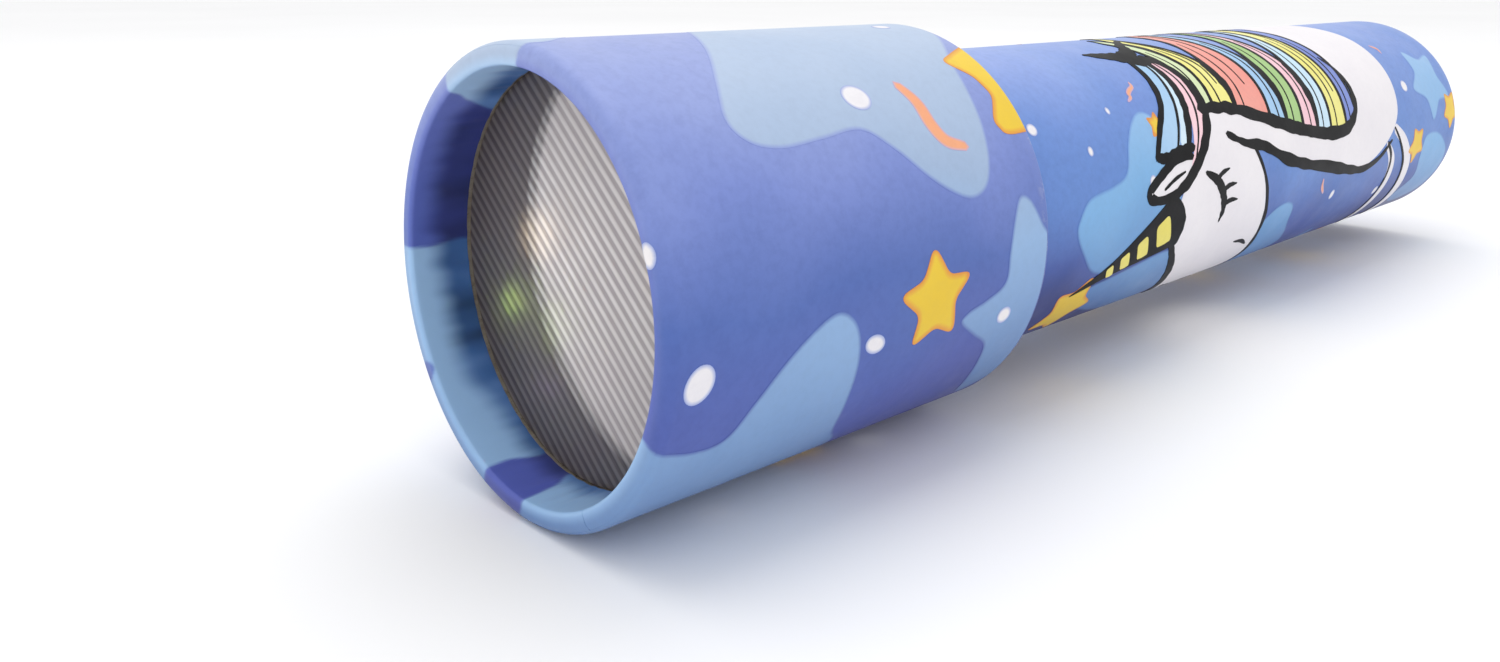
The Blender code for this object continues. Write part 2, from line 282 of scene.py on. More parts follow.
def print_ink(name, core, rim=None, amount=0.22, shade=None, ramp=None, gloss=0.08):
    """A printed shape. core and rim are its middle and its soft edge."""
    n = Nodes(name, Coat_Weight=gloss, Coat_Roughness=0.22, Specular_IOR_Level=0.32 if gloss else 0.08)
    # A ramp, and a rim given as a list, colour the shape by height, darker underneath and lighter on top: partly the
    # print and partly painted shade.
    if ramp:
        col = n.ramp(height_of(n), ramp)
    else:
        col = n.ramp(n.noise(60.0, 2.0), [(0.3, core), (0.75, shade or core)])
    if rim is not None:
        edge = n.ramp(height_of(n), rim) if isinstance(rim, list) else rim
        col = n.mix(n.attribute("core"), edge, col)
    n.colour(speckled(n, col, amount))
    print_finish(n)
    return n.mat


# ---- the wrap's shape -------------------------------------------------------------
class Profile:
    """A polyline (s, r) that the paper follows. c is the length along it in mm,
    and equals s on the straight outer face."""

    def __init__(self, pts, s_ref):
        self.p = np.array(pts, float)
        d = np.hypot(*np.diff(self.p, axis=0).T)
        self.c = np.concatenate([[0.0], np.cumsum(d)])
        k = int(np.argmin(np.abs(self.p[:, 0] - s_ref) + 100.0 * (self.p[:, 1] < self.p[:, 1].max() - 1e-6)))
        self.c += self.p[k, 0] - self.c[k]
        t = np.gradient(self.p, axis=0)
        t /= np.linalg.norm(t, axis=1)[:, None]
        self.n = np.stack([-t[:, 1], t[:, 0]], 1)

    def at(self, c):
        s = np.interp(c, self.c, self.p[:, 0])
        r = np.interp(c, self.c, self.p[:, 1])
        ns = np.interp(c, self.c, self.n[:, 0])
        nr = np.interp(c, self.c, self.n[:, 1])
        ln = np.hypot(ns, nr)
        return s, r, ns / ln, nr / ln

    def point(self, c, phi, h=0.0, dr=0.0):
        """World points and normals; phi in radians, h and dr in mm."""
        s, r, ns, nr = self.at(c)
        s = s + h * ns
        r = r + h * nr + dr
        sn, cs = np.sin(phi), np.cos(phi)
        pts = np.stack([X0 + s * MM, -r * sn * MM, AZ + r * cs * MM], -1)
        nor = np.stack([ns + 0 * phi, -nr * sn, nr * cs], -1)
        return pts, nor


def bend(cs, cr, r, a0, a1, n):
    return [(cs + r * math.cos(math.radians(a0 + (a1 - a0) * i / n)),
             cr + r * math.sin(math.radians(a0 + (a1 - a0) * i / n))) for i in range(n + 1)]


def straight(a, b, step):
    n = max(1, int(round(math.hypot(b[0] - a[0], b[1] - a[1]) / step)))
    return [(a[0] + (b[0] - a[0]) * i / n, a[1] + (b[1] - a[1]) * i / n) for i in range(n + 1)]


def chain(*runs):
    out = []
    for run in runs:
        for p in run:
            if not out or math.hypot(p[0] - out[-1][0], p[1] - out[-1][1]) > 1e-6:
                out.append(p)
    return out


HEAD_PROFILE = Profile(chain(
    straight((7.15, 22.46), (0.55, 22.46), 0.33),
    bend(0.55, 22.96, 0.5, 270, 180, 6),
    straight((0.05, 22.96), (0.05, R_HEAD - 1.25), 0.25),
    bend(1.3, R_HEAD - 1.25, 1.25, 180, 90, 8),
    straight((1.3, R_HEAD), (S_HEAD - 0.5, R_HEAD), 1.5),
    bend(S_HEAD - 0.5, R_HEAD - 0.45, 0.45, 90, 0, 4),
    straight((S_HEAD - 0.05, R_HEAD - 0.5), (S_HEAD - 0.05, 21.7), 0.5)), 10.0)
BODY_PROFILE = Profile(chain(
    straight((34.4, R_BODY), (S_TAIL - 0.8, R_BODY), 2.0),
    bend(S_TAIL - 0.8, R_BODY - 0.75, 0.75, 90, 0, 5),
    straight((S_TAIL - 0.05, R_BODY - 0.8), (S_TAIL - 0.05, 18.85), 0.3),
    bend(S_TAIL - 0.5, 18.85, 0.45, 0, -90, 4),
    straight((S_TAIL - 0.5, 18.4), (206.2, 18.4), 0.8)), 100.0)


def link_object(name, me, mats):
    for m in mats:
        me.materials.append(m)
    ob = bpy.data.objects.new(name, me)
    bpy.context.scene.collection.objects.link(ob)
    return ob


def mesh_from(name, verts, faces, normals=None):
    me = bpy.data.meshes.new(name)
    me.from_pydata([tuple(v) for v in verts], [], faces)
    me.update()
    me.shade_smooth()
    if normals is not None:
        me.normals_split_custom_set(normals)
    return me


def wobble(x, y, seed):
    return noise.noise(Vector((x, y, seed)))


def sheet(name, prof, seam, cols, thick, mat, body, node, relief=None, paint=()):
    """A printed sheet rolled round the tube, butted along a hairline seam."""
    gap = 0.0012
    phi = np.radians(seam) + np.linspace(gap, 2 * math.pi - gap, cols + 1)
    C, P = np.meshgrid(prof.c, phi, indexing="ij")
    D = relief(C, P) if relief else 0.0 * C
    outer, _ = prof.point(C, P, D)
    inner, _ = prof.point(C, P, D - thick)
    R, K = C.shape
    verts = np.concatenate([outer.reshape(-1, 3), inner.reshape(-1, 3)])
    n = R * K

    def vid(i, j, side):
        return side * n + i * K + j

    faces = []
    for i in range(R - 1):
        for j in range(K - 1):
            a, b, c, d = vid(i, j, 0), vid(i, j + 1, 0), vid(i + 1, j + 1, 0), vid(i + 1, j, 0)
            faces.append((a, b, c, d))
            faces.append((d + n, c + n, b + n, a + n))
    for i in range(R - 1):
        faces.append((vid(i, 0, 0), vid(i + 1, 0, 0), vid(i + 1, 0, 1), vid(i, 0, 1)))
        faces.append((vid(i + 1, K - 1, 0), vid(i, K - 1, 0), vid(i, K - 1, 1), vid(i + 1, K - 1, 1)))
    for j in range(K - 1):
        faces.append((vid(0, j + 1, 0), vid(0, j, 0), vid(0, j, 1), vid(0, j + 1, 1)))
        faces.append((vid(R - 1, j, 0), vid(R - 1, j + 1, 0), vid(R - 1, j + 1, 1), vid(R - 1, j, 1)))
    a, b, c = (Vector(verts[k]) for k in faces[0][:3])
    mid = (a + b + c) / 3.0
    _, nn = prof.point(np.array([prof.c[0]]), np.array([phi[0]]))
    if (b - a).cross(c - b).dot(Vector(nn[0])) < 0:
        faces = [tuple(reversed(f)) for f in faces]
    me = mesh_from(name, verts, faces)
    for key, fn in paint:
        att = me.attributes.new(key, "FLOAT", "POINT")
        vals = fn(C, P).ravel()
        att.data.foreach_set("value", np.concatenate([vals, vals]).astype(np.float32))
    me.set_sharp_from_angle(angle=math.radians(55))
    ob = link_object(name, me, [mat])
    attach(ob, body)
    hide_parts(node)
    return ob


# ---- flat shapes for the print -------------------------------------------------------
def closed_curve(pts, n=8):
    """Catmull-Rom through closed points."""
    p = np.array(pts, float)
    m = len(p)
    out = []
    for i in range(m):
        a, b, c, d = p[i - 1], p[i], p[(i + 1) % m], p[(i + 2) % m]
        for k in range(n):
            t = k / n
            out.append(0.5 * ((2 * b) + (c - a) * t + (2 * a - 5 * b + 4 * c - d) * t * t
                              + (3 * b - a - 3 * c + d) * t ** 3))
    return np.array(out)


def open_curve(pts, n=8):
    p = np.array(pts, float)
    p = np.vstack([2 * p[0] - p[1], p, 2 * p[-1] - p[-2]])
    out = []
    for i in range(1, len(p) - 2):
        a, b, c, d = p[i - 1], p[i], p[i + 1], p[i + 2]
        for k in range(n):
            t = k / n
            out.append(0.5 * ((2 * b) + (c - a) * t + (2 * a - 5 * b + 4 * c - d) * t * t
                              + (3 * b - a - 3 * c + d) * t ** 3))
    out.append(p[-2])
    return np.array(out)


def soft_corners(corners, cuts, n=6):
    """A polygon with each corner rounded; cuts is how far along its sides, 0 to 0.5."""
    p = np.array(corners, float)
    m = len(p)
    out = []
    for i in range(m):
        k = cuts[i % len(cuts)]
        a = p[i] + (p[i - 1] - p[i]) * k
        b = p[i] + (p[(i + 1) % m] - p[i]) * k
        for j in range(n + 1):
            t = j / n
            out.append((1 - t) ** 2 * a + 2 * t * (1 - t) * p[i] + t * t * b)
    return np.array(out)


def star(cs, cv, r, inner=0.56, turn=-90.0, points=5, tip=0.40, dip=0.20, squash=1.0, seed=None):
    """A fat star with soft points, centred at (cs, cv) mm."""
    corners = []
    for i in range(2 * points):
        q = r * (1.0 if i % 2 == 0 else inner)
        if seed is not None:
            q *= 1.0 + 0.10 * wobble(i * 1.7, 0.4, seed)
        b = math.radians(turn + i * 180.0 / points)
        corners.append((cs + q * math.cos(b), cv + q * math.sin(b) * squash))
    return soft_corners(corners, (tip, dip))


def dot(cs, cv, ra, rb=None, turn=0.0, n=28):
    rb = rb or ra
    t = math.radians(turn)
    out = []
    for i in range(n):
        a = 2 * math.pi * i / n
        x, y = ra * math.cos(a), rb * math.sin(a)
        out.append((cs + x * math.cos(t) - y * math.sin(t), cv + x * math.sin(t) + y * math.cos(t)))
    return np.array(out)


def stroke(pts, w0, w1=None, mid=None, wob=0.0, seed=0.0, n=8):
    """A brush line through pts with its width running w0, mid, w1."""
    c = open_curve(pts, n)
    w1 = w0 if w1 is None else w1
    mid = max(w0, w1) if mid is None else mid
    d = np.gradient(c, axis=0)
    d /= np.linalg.norm(d, axis=1)[:, None] + 1e-9
    nrm = np.stack([-d[:, 1], d[:, 0]], 1)
    t = np.linspace(0, 1, len(c))
    w = np.where(t < 0.5, w0 + (mid - w0) * np.sin(math.pi * t), w1 + (mid - w1) * np.sin(math.pi * t))
    if wob:
        w = w * (1 + wob * np.array([wobble(7.0 * k, 0.3, seed) for k in t * len(pts) * 0.35]))
    left = c + nrm * w[:, None] / 2
    rgt = c - nrm * w[:, None] / 2
    tip_a = c[0] - d[0] * w[0] * 0.5
    tip_b = c[-1] + d[-1] * w[-1] * 0.5
    return np.vstack([[tip_a], left, [tip_b], rgt[::-1]])


def resample(loop, step):
    """Even points round a closed loop, keeping its own corners."""
    out = []
    m = len(loop)
    for i in range(m):
        a, b = loop[i], loop[(i + 1) % m]
        k = max(1, int(math.ceil(np.linalg.norm(b - a) / step)))
        for j in range(k):
            out.append(a + (b - a) * j / k)
    return np.array(out)


def inside_loop(pts, loop):
    x, y = pts[:, 0], pts[:, 1]
    res = np.zeros(len(pts), bool)
    lo, hi = loop.min(0), loop.max(0)
    near = np.where((x >= lo[0]) & (x <= hi[0]) & (y >= lo[1]) & (y <= hi[1]))[0]
    if not len(near):
        return res
    x, y = x[near], y[near]
    hit = np.zeros(len(near), bool)
    x1, y1 = loop[:, 0], loop[:, 1]
    x2, y2 = np.roll(x1, -1), np.roll(y1, -1)
    for k in range(len(loop)):
        cond = (y1[k] > y) != (y2[k] > y)
        if cond.any():
            xi = (x2[k] - x1[k]) * (y - y1[k]) / (y2[k] - y1[k] + 1e-30) + x1[k]
            hit ^= cond & (x < xi)
    res[near] = hit
    return res


def edge_distance(pts, loops, merged=False):
    """Distance to the nearest edge. With merged, the loops are one shape, and an
    edge inside another loop doesn't count."""
    best = np.full(len(pts), 1e9)
    for loop in loops:
        a = loop
        b = np.roll(loop, -1, axis=0)
        if merged and len(loops) > 1:
            mid = (a + b) / 2
            hidden = np.zeros(len(a), bool)
            for other in loops:
                if other is not loop:
                    hidden |= inside_loop(mid, other)
            a, b = a[~hidden], b[~hidden]
        for k in range(0, len(a), 64):
            A, B = a[k:k + 64], b[k:k + 64]
            ab = B - A
            t = ((pts[:, None, :] - A[None]) * ab[None]).sum(-1) / ((ab * ab).sum(-1)[None] + 1e-12)
            t = np.clip(t, 0, 1)
            q = A[None] + t[..., None] * ab[None]
            best = np.minimum(best, np.sqrt(((pts[:, None, :] - q) ** 2).sum(-1)).min(1))
    return best


def decal(name, loops, prof, radius, lift, mat, body, soft=0.0, step=0.5, grid=0.9, limits=None,
          sink=0.03):
    """Printed shapes, in mm (c along the tube, v round it), laid on the wrap as a
    very thin closed skin that follows its curve."""
    lift += 0.008
    loops = [resample(np.array(q, float), step) for q in loops]
    pts, edges = [], []
    for loop in loops:
        k = len(pts)
        pts.extend(loop.tolist())
        edges.extend((k + i, k + (i + 1) % len(loop)) for i in range(len(loop)))
    if soft:
        for loop in loops:
            d = np.roll(loop, -1, 0) - np.roll(loop, 1, 0)
            d /= np.linalg.norm(d, axis=1)[:, None] + 1e-9
            nrm = np.stack([-d[:, 1], d[:, 0]], 1)
            area = 0.5 * np.sum(loop[:, 0] * np.roll(loop[:, 1], -1) - np.roll(loop[:, 0], -1) * loop[:, 1])
            q = loop + nrm * soft * (1 if area > 0 else -1)
            keep = inside_loop(q, loop)
            keep &= edge_distance(q, [loop]) > soft * 0.8
            pts.extend(q[keep].tolist())
    allp = np.vstack(loops)
    lo, hi = allp.min(0), allp.max(0)
    if limits is not None:
        lo, hi = np.maximum(lo, [limits[0], -1e9]), np.minimum(hi, [limits[1], 1e9])
    gs = prof.c[(prof.c > lo[0]) & (prof.c < hi[0])]
    gv = np.arange(lo[1], hi[1], grid)
    if len(gs) and len(gv):
        G = np.stack(np.meshgrid(gs, gv, indexing="ij"), -1).reshape(-1, 2)
        keep = np.zeros(len(G), bool)
        for loop in loops:
            keep |= inside_loop(G, loop)
        G = G[keep]
        if len(G):
            G = G[edge_distance(G, loops) > 0.22]
            pts.extend(G.tolist())
    if limits is not None:
        lo_v, hi_v = allp[:, 1].min() - 1.0, allp[:, 1].max() + 1.0
        for x in limits[:2]:
            k = len(pts)
            row = np.arange(lo_v, hi_v + 0.5, 0.5)
            pts.extend([(x, v) for v in row])
            edges.extend((k + i, k + i + 1) for i in range(len(row) - 1))
    co, _, tris, *_ = delaunay_2d_cdt([Vector(p) for p in pts], edges, [], 0, 1e-5)
    co = np.array([(v.x, v.y) for v in co])
    tris = np.array([t for t in tris if len(t) == 3])
    mid = co[tris].mean(1)
    keep = np.zeros(len(tris), bool)
    for loop in loops:
        keep |= inside_loop(mid, loop)
    if limits is not None:
        keep &= (mid[:, 0] > limits[0]) & (mid[:, 0] < limits[1])
    area = 0.5 * np.abs(np.cross(co[tris[:, 1]] - co[tris[:, 0]], co[tris[:, 2]] - co[tris[:, 0]]))
    keep &= area > 1e-7
    tris = tris[keep]
    used = np.unique(tris)
    back = np.full(len(co), -1)
    back[used] = np.arange(len(used))
    co, tris = co[used], back[tris]
    cr = np.cross(co[tris[:, 1]] - co[tris[:, 0]], co[tris[:, 2]] - co[tris[:, 0]])
    tris = np.where((cr > 0)[:, None], tris, tris[:, ::-1])
    phi = co[:, 1] / radius
    top, nor = prof.point(co[:, 0], phi, lift)
    low, _ = prof.point(co[:, 0], phi, -sink)
    n = len(co)
    a, b, c = top[tris[0]]
    if np.dot(np.cross(b - a, c - b), nor[tris[0][0]]) < 0:
        tris = tris[:, ::-1]
    count = {}
    for t in tris:
        for i in range(3):
            e = (int(t[i]), int(t[(i + 1) % 3]))
            count[e] = 1
    faces = [tuple(int(k) for k in t) for t in tris]
    loop_n = [nor[k] for t in faces for k in t]
    under = [tuple(int(k) + n for k in reversed(t)) for t in tris]
    faces += under
    loop_n += [-nor[k - n] for t in under for k in t]
    for (i, j) in count:
        if (j, i) not in count:
            f = (j, i, i + n, j + n)
            faces.append(f)
            v1, v2 = top[i] - top[j], low[i] - top[i]
            w = np.cross(v1, v2)
            w /= np.linalg.norm(w) + 1e-12
            loop_n += [w] * 4
    me = mesh_from(name, np.concatenate([top, low]), faces, [tuple(map(float, q)) for q in loop_n])
    att = me.attributes.new("core", "FLOAT", "POINT")
    if soft:
        dist = np.clip(edge_distance(co, loops, merged=True) / soft, 0, 1)
        dist = dist * dist * (3 - 2 * dist)
    else:
        dist = np.ones(n)
    att.data.foreach_set("value", np.concatenate([dist, dist]).astype(np.float32))
    ob = link_object(name, me, [mat])
    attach(ob, body)
    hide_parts(body + "_wrap")
    return ob


# ---- print colours ------------------------------------------------------------------
# Colour ramps from under the tube (0) to its top (1). They are partly the print's own colours and partly painted shade:
# darker underneath and lighter on top.
HEAD_PRINT_AND_SHADE = [(0.0, lin(56, 64, 142)), (0.25, lin(70, 85, 162)), (0.5, lin(76, 103, 175)),
              (0.75, lin(120, 138, 203)), (1.0, lin(148, 162, 214))]
BODY_PRINT_AND_SHADE = [(0.0, lin(28, 34, 104)), (0.20, lin(16, 38, 112)), (0.34, lin(40, 74, 154)), (0.54, lin(88, 131, 200)),
              (0.75, lin(104, 140, 208)), (1.0, lin(140, 164, 222))]
PALE_HEAD_PRINT_AND_SHADE = [(0.0, lin(92, 128, 180)), (0.25, lin(118, 152, 198)), (0.5, lin(142, 176, 216)),
              (0.75, lin(156, 178, 209)), (1.0, lin(172, 190, 216))]
PALE_BODY_PRINT_AND_SHADE = [(0.0, lin(60, 90, 158)), (0.25, lin(88, 134, 190)), (0.5, lin(118, 172, 220)),
             (0.75, lin(142, 184, 226)), (1.0, lin(166, 196, 232))]


HEAD_GROUND = print_ground_and_shade("head_ground", HEAD_PRINT_AND_SHADE, pale=PALE_HEAD_PRINT_AND_SHADE)
BODY_GROUND = print_ground_and_shade("body_ground", BODY_PRINT_AND_SHADE)


def hv(points):
    """(s, phi in degrees) to mm on the head's face."""
    return [(s, math.radians(p) * R_HEAD) for s, p in points]


# The body's drawing is laid out on a tube that is seen a little more end on, and
# these two cubics in s and phi carry it to this one.
TERMS = [(0, 0), (0, 1), (0, 2), (0, 3), (1, 0), (1, 1), (1, 2), (2, 0), (2, 1), (3, 0)]
ALONG = [-1.2376, 4.0983, -5.9049, 2.5535, -5.5957, 10.8068, -7.1076, -2.6877, 0.2533, 0.0723]
ROUND = [1.4922, -10.2252, 19.4168, -9.6876, 4.3451, -7.853, 2.6593, -0.3234, 0.3424, 0.0153]


def carried(s, phi):
    u = min(max((s - 57.0) / 100.0, 0.0), 1.58)
    w = min(max(phi / 100.0, 0.05), 1.25)
    powers = [u ** i * w ** j for i, j in TERMS]
    return (s + sum(k * q for k, q in zip(ALONG, powers)), phi + sum(k * q for k, q in zip(ROUND, powers)))


def bv(points):
    return [(s, math.radians(p) * R_BODY) for s, p in (carried(s, p) for s, p in points)]


def at_head(s, phi):
    return s, math.radians(phi) * R_HEAD


def at_body(s, phi):
    return bv([(s, phi)])[0]


# Pale shapes that run over the front rim into the recess. Below 0.3 mm they are
# painted on the sheet, and above it they are laid on like the others.
RIM_SHAPES = [
    closed_curve(hv([(-9.5, 111), (-6, 112), (0, 115), (5, 118.5), (8.5, 118), (11, 110), (14, 102), (17.5, 96),
                     (20.7, 93), (23, 95), (24.5, 100), (25.3, 108), (25.8, 120), (27, 132), (30, 142), (31, 154),
                     (28, 166), (22, 174), (18, 184), (12, 193), (6, 194), (2, 189.5), (-1, 182), (-6, 183),
                     (-9.5, 184), (-11, 150)])),
    closed_curve(hv([(-10, 200.5), (-4, 199.5), (0, 199), (4, 201), (7.5, 207), (8.6, 216), (6.6, 226), (8.8, 238),
                     (11, 250), (7, 261), (4, 268), (0, 272), (-4, 271.5), (-10, 270), (-11, 240)])),
    closed_curve(hv([(-10, 317), (-5, 322), (-3, 326), (0, 329), (3, 331), (6, 336), (9, 344), (8.6, 354),
                     (5.5, 362), (3, 366), (0, 366), (-3, 364), (-8, 360), (-11, 340)])),
    closed_curve(hv([(-6.0, 52), (-3.4, 50), (-2.6, 58), (-3.4, 68), (-2.7, 78), (-4.0, 86), (-6.4, 82), (-8.5, 72),
                     (-8, 58)])),
]
RIM_HOLE = dot(-0.2, math.radians(236.0) * R_HEAD, 1.7, 1.25)


def head_pale(C, P):
    """How pale the print is where the paper turns in, 0 to 1."""
    out = np.zeros(C.shape)
    near = C < 1.4
    c = C[near]
    for lap in (-360.0, 0.0, 360.0):
        pts = np.stack([c, (P[near] + math.radians(lap)) * R_HEAD], -1)
        for loop in RIM_SHAPES:
            loop = resample(loop, 0.8)
            d = edge_distance(pts, [loop])
            d = np.where(inside_loop(pts, loop), d, -d)
            t = np.clip(d / 0.55, 0, 1)
            out[near] = np.maximum(out[near], t * t * (3 - 2 * t))
        d = edge_distance(pts, [RIM_HOLE])
        d = np.where(inside_loop(pts, RIM_HOLE), d, -d)
        t = np.clip(d / 0.5 + 0.5, 0, 1)
        out[near] *= 1.0 - 0.8 * t * t * (3 - 2 * t)
    return out


def head_recess_painted_shade(C, P):
    """Painted shade in the recess: how dark the paper is painted, from the rim at 0 to the bottom of the recess at 1.
    """
    deg = np.degrees(P) % 360.0
    start = np.interp(deg, [0, 60, 90, 112, 150, 182, 188, 200, 222, 229, 262, 272, 276, 312, 326, 338, 360],
                      [3.0, 3.0, 3.4, 4.4, 5.4, 6.0, 5.8, 6.0, 5.6, 3.9, 3.9, 3.6, 3.0, 3.1, 4.6, 4.6, 3.0])
    ripple = np.array([0.9 * wobble(a * 0.16, 0.0, 2.0) + 0.35 * wobble(a * 0.36, 4.0, 7.0)
                       for a in deg[0]])
    t = np.clip((-C - start - ripple + 0.5) / 3.6, 0.0, 1.0)
    return t * t * (3 - 2 * t)


def head_inner(C, P):
    """The recess, from the middle of the rim's edge inwards. It sets where the wall inside the rim is painted lighter,
    which is painted light.
    """
    t = np.clip((-0.4 - C) / 1.8, 0.0, 1.0)
    return t * t * (3 - 2 * t)


def pleats(C, P):
    """Small folds where the paper is turned into the front rim."""
    deep = np.clip((-1.6 - C) / 3.6, 0.0, 1.0) ** 1.3
    rnd = random.Random(11)
    out = np.zeros_like(C)
    a = 0.0
    while a < 2 * math.pi:
        w = math.radians(rnd.uniform(0.8, 1.8))
        h = rnd.uniform(0.03, 0.12)
        lean = math.radians(rnd.uniform(-1.0, 1.0))
        d = np.angle(np.exp(1j * (P - a - lean * np.clip(-C, 0, 9) / 4.0)))
        out += h * np.exp(-(d / w) ** 2)
        a += math.radians(rnd.uniform(4.5, 10.0))
    return out * deep * (C < 0)


def head_edge(C, P):
    return np.clip(np.exp(-((C - S_HEAD + 0.25) / 0.35) ** 2), 0, 1)


def body_edge(C, P):
    return np.clip(np.exp(-((C - S_TAIL + 0.1) / 0.7) ** 2), 0, 1)


COLS = 480
sheet("head_print", HEAD_PROFILE, 152.0, COLS, 0.22, HEAD_GROUND, "head", "head_wrap",
      relief=pleats, paint=(("pale", head_pale), ("deep", head_recess_painted_shade), ("inner", head_inner), ("edge", head_edge)))
sheet("body_print", BODY_PROFILE, 158.0, 256, 0.22, BODY_GROUND, "body",
      "body_wrap", paint=(("edge", body_edge),))


# ---- printed shapes on the head ----------------------------------------------------------
# The pale inks are ramped by height: partly the print and partly painted shade.
PALE_HEAD_INK = print_ink("pale_ink_head", lin(150, 180, 220), rim=HEAD_PRINT_AND_SHADE, ramp=PALE_HEAD_PRINT_AND_SHADE)
PALE_BODY_INK = print_ink("pale_ink_body", lin(130, 176, 222), rim=BODY_PRINT_AND_SHADE, ramp=PALE_BODY_PRINT_AND_SHADE)
STAR_INK = print_ink("star_ink", lin(228, 190, 34), rim=lin(222, 140, 56), shade=lin(238, 204, 56), amount=0.12)
DOT_INK = print_ink("dot_ink", lin(240, 236, 236), rim=lin(150, 165, 215), shade=lin(228, 226, 232))
SQUIGGLE_INK = print_ink("squiggle_ink", lin(234, 152, 112), rim=lin(200, 165, 190), shade=lin(240, 176, 130))

big = RIM_SHAPES[:3] + [
    closed_curve(hv([(21.4, 5), (18.2, 20), (14.8, 34), (12.8, 45), (14.2, 51.5), (18, 54), (24, 53), (29.5, 52),
                     (33, 58), (36.5, 66), (40, 71.5), (43.2, 74), (46, 72), (47.8, 66), (49.2, 56), (50.5, 44),
                     (52.2, 33), (56.0, 20), (58.0, 8), (57.8, -8), (51, -14), (45, -24), (40, -36), (35, -38),
                     (31, -28), (28.2, -16), (24.6, -6)])),
    closed_curve(hv([(48.6, 98), (49, 90), (50, 82), (51.6, 76), (53.6, 77), (55.6, 84), (57.6, 92), (57.6, 116),
                     (57.2, 134), (54, 144), (51.6, 142), (50, 133), (49, 124), (48, 117), (44.8, 112),
                     (41.6, 106.5), (42.6, 103.5), (45.6, 101.5)])),
]
for s, phi, r, tilt in ((24, -70, 12.0, -60), (43.5, -112, 11.0, 20), (24, 228, 10.0, 10), (47, 196, 9.0, -30)):
    c, v = at_head(s, phi)
    big.append(star(c, v, r, 0.52, tilt, seed=s))
decal("head_pale_stars", big, HEAD_PROFILE, R_HEAD, 0.012, PALE_HEAD_INK, "head", soft=0.55,
      limits=(0.3, 56.4))

stars, dots, squiggles = [], [], []
for s, phi, r, tilt in ((44.5, -62, 6.2, -70), (10.5, -18, 5.6, -50), (33, 172, 6.2, 10),
                        (14, 205, 5.4, -20), (24, -118, 6.0, 35)):
    c, v = at_head(s, phi)
    stars.append(star(c, v, r, 0.56, tilt, seed=s))
stars.append(soft_corners(hv([(35.6, 82.6), (38.2, 91.4), (42.3, 92.0), (39.5, 98.6), (40.6, 108.8), (36.8, 105.0),
                              (33.2, 109.4), (33.6, 100.2), (29.8, 93.8), (33.8, 91.2)]), (0.40, 0.22)))
stars.append(soft_corners(hv([(50.2, 32.2), (54.0, 28.6), (59.0, 24.0), (60.0, 58.6), (52.6, 59.4), (51.4, 54.6), (54.0, 46.6),
                              (53.2, 39.4)]), (0.36, 0.12, 0.02, 0.02, 0.34, 0.30, 0.24, 0.20)))
decal("head_stars", stars, HEAD_PROFILE, R_HEAD, 0.030, STAR_INK, "head", soft=0.8,
      limits=(0.3, S_HEAD - 0.35))
for s, phi, ra, rb, t in ((31.8, 42.5, 2.0, 1.8, 0), (51.2, 6.8, 1.4, 1.1, 0), (3.6, 100.5, 1.7, 2.0, 30), (27.1, 104.2, 1.6, 1.1, 20),
                          (49.9, 108.2, 1.3, 1.1, 10), (22, -34, 1.7, 1.5, 0), (36, -84, 1.5, 1.7, 20),
                          (8, -84, 1.6, 1.6, 0), (42, 158, 1.7, 1.5, 0), (16, 152, 1.4, 1.6, 0),
                          (36, 214, 1.7, 1.5, 0), (50, 236, 1.4, 1.4, 0), (10, 240, 1.8, 1.6, 0)):
    c, v = at_head(s, phi)
    dots.append(dot(c, v, ra, rb, t))
decal("head_dots", dots, HEAD_PROFILE, R_HEAD, 0.030, DOT_INK, "head", soft=0.45)
decal("head_rim_dot", [dot(*at_head(-1.0, 71.6), 1.0, 1.3)], HEAD_PROFILE, R_HEAD, 0.034, DOT_INK, "head",
      soft=0.5, step=0.2, grid=0.4)
squiggles.append(stroke(hv([(39.4, 40), (40.4, 46), (40.6, 53), (41.8, 58), (44.6, 60.3)]), 1.5, 1.2, 2.1))
squiggles.append(stroke(hv([(26, -52), (28, -49), (28.6, -44), (31, -41)]), 1.2, 1.0, 1.8))
squiggles.append(stroke(hv([(9, -158), (11, -154), (10.4, -149), (13, -145)]), 1.2, 1.0, 1.7))
squiggles.append(stroke(hv([(28, 192), (30.4, 195), (30, 200), (32.5, 203)]), 1.2, 1.0, 1.7))
squiggles.append(stroke(hv([(48, 262), (49.4, 266), (48.6, 270), (51, 274)]), 1.2, 1.0, 1.7))
decal("head_squiggles", squiggles, HEAD_PROFILE, R_HEAD, 0.034, SQUIGGLE_INK, "head", soft=0.35)


# ---- printed shapes on the body: a plain unicorn head with a coloured mane, among stars ----
def ink(name, light, dark, rim=None):
    return print_ink(name, light, rim=rim, shade=dark)


OUTLINE_INK = print_ink("outline_ink", lin(12, 12, 15), shade=lin(7, 7, 10), amount=0.05, gloss=0.0)
WHITE_INK = print_ink("white_ink", lin(236, 232, 235), rim=lin(224, 221, 230), shade=lin(228, 224, 229), amount=0.10)
HORN_INK = ink("horn_ink", lin(226, 212, 84), lin(238, 226, 120))
LOCK_INKS = {
    "lime": ink("lime_ink", lin(206, 222, 172), lin(222, 232, 192)),
    "lemon": ink("lemon_ink", lin(232, 224, 116), lin(240, 234, 146)),
    "coral": ink("coral_ink", lin(230, 136, 124), lin(238, 160, 146)),
    "sky": ink("sky_ink", lin(148, 190, 228), lin(172, 206, 236)),
    "leaf": ink("leaf_ink", lin(150, 190, 112), lin(170, 204, 134)),
    "rose": ink("rose_ink", lin(240, 190, 202), lin(246, 208, 216)),
    "ice": ink("ice_ink", lin(192, 222, 240), lin(210, 230, 244)),
    "iris": ink("iris_ink", lin(104, 124, 200), lin(124, 144, 212)),
}

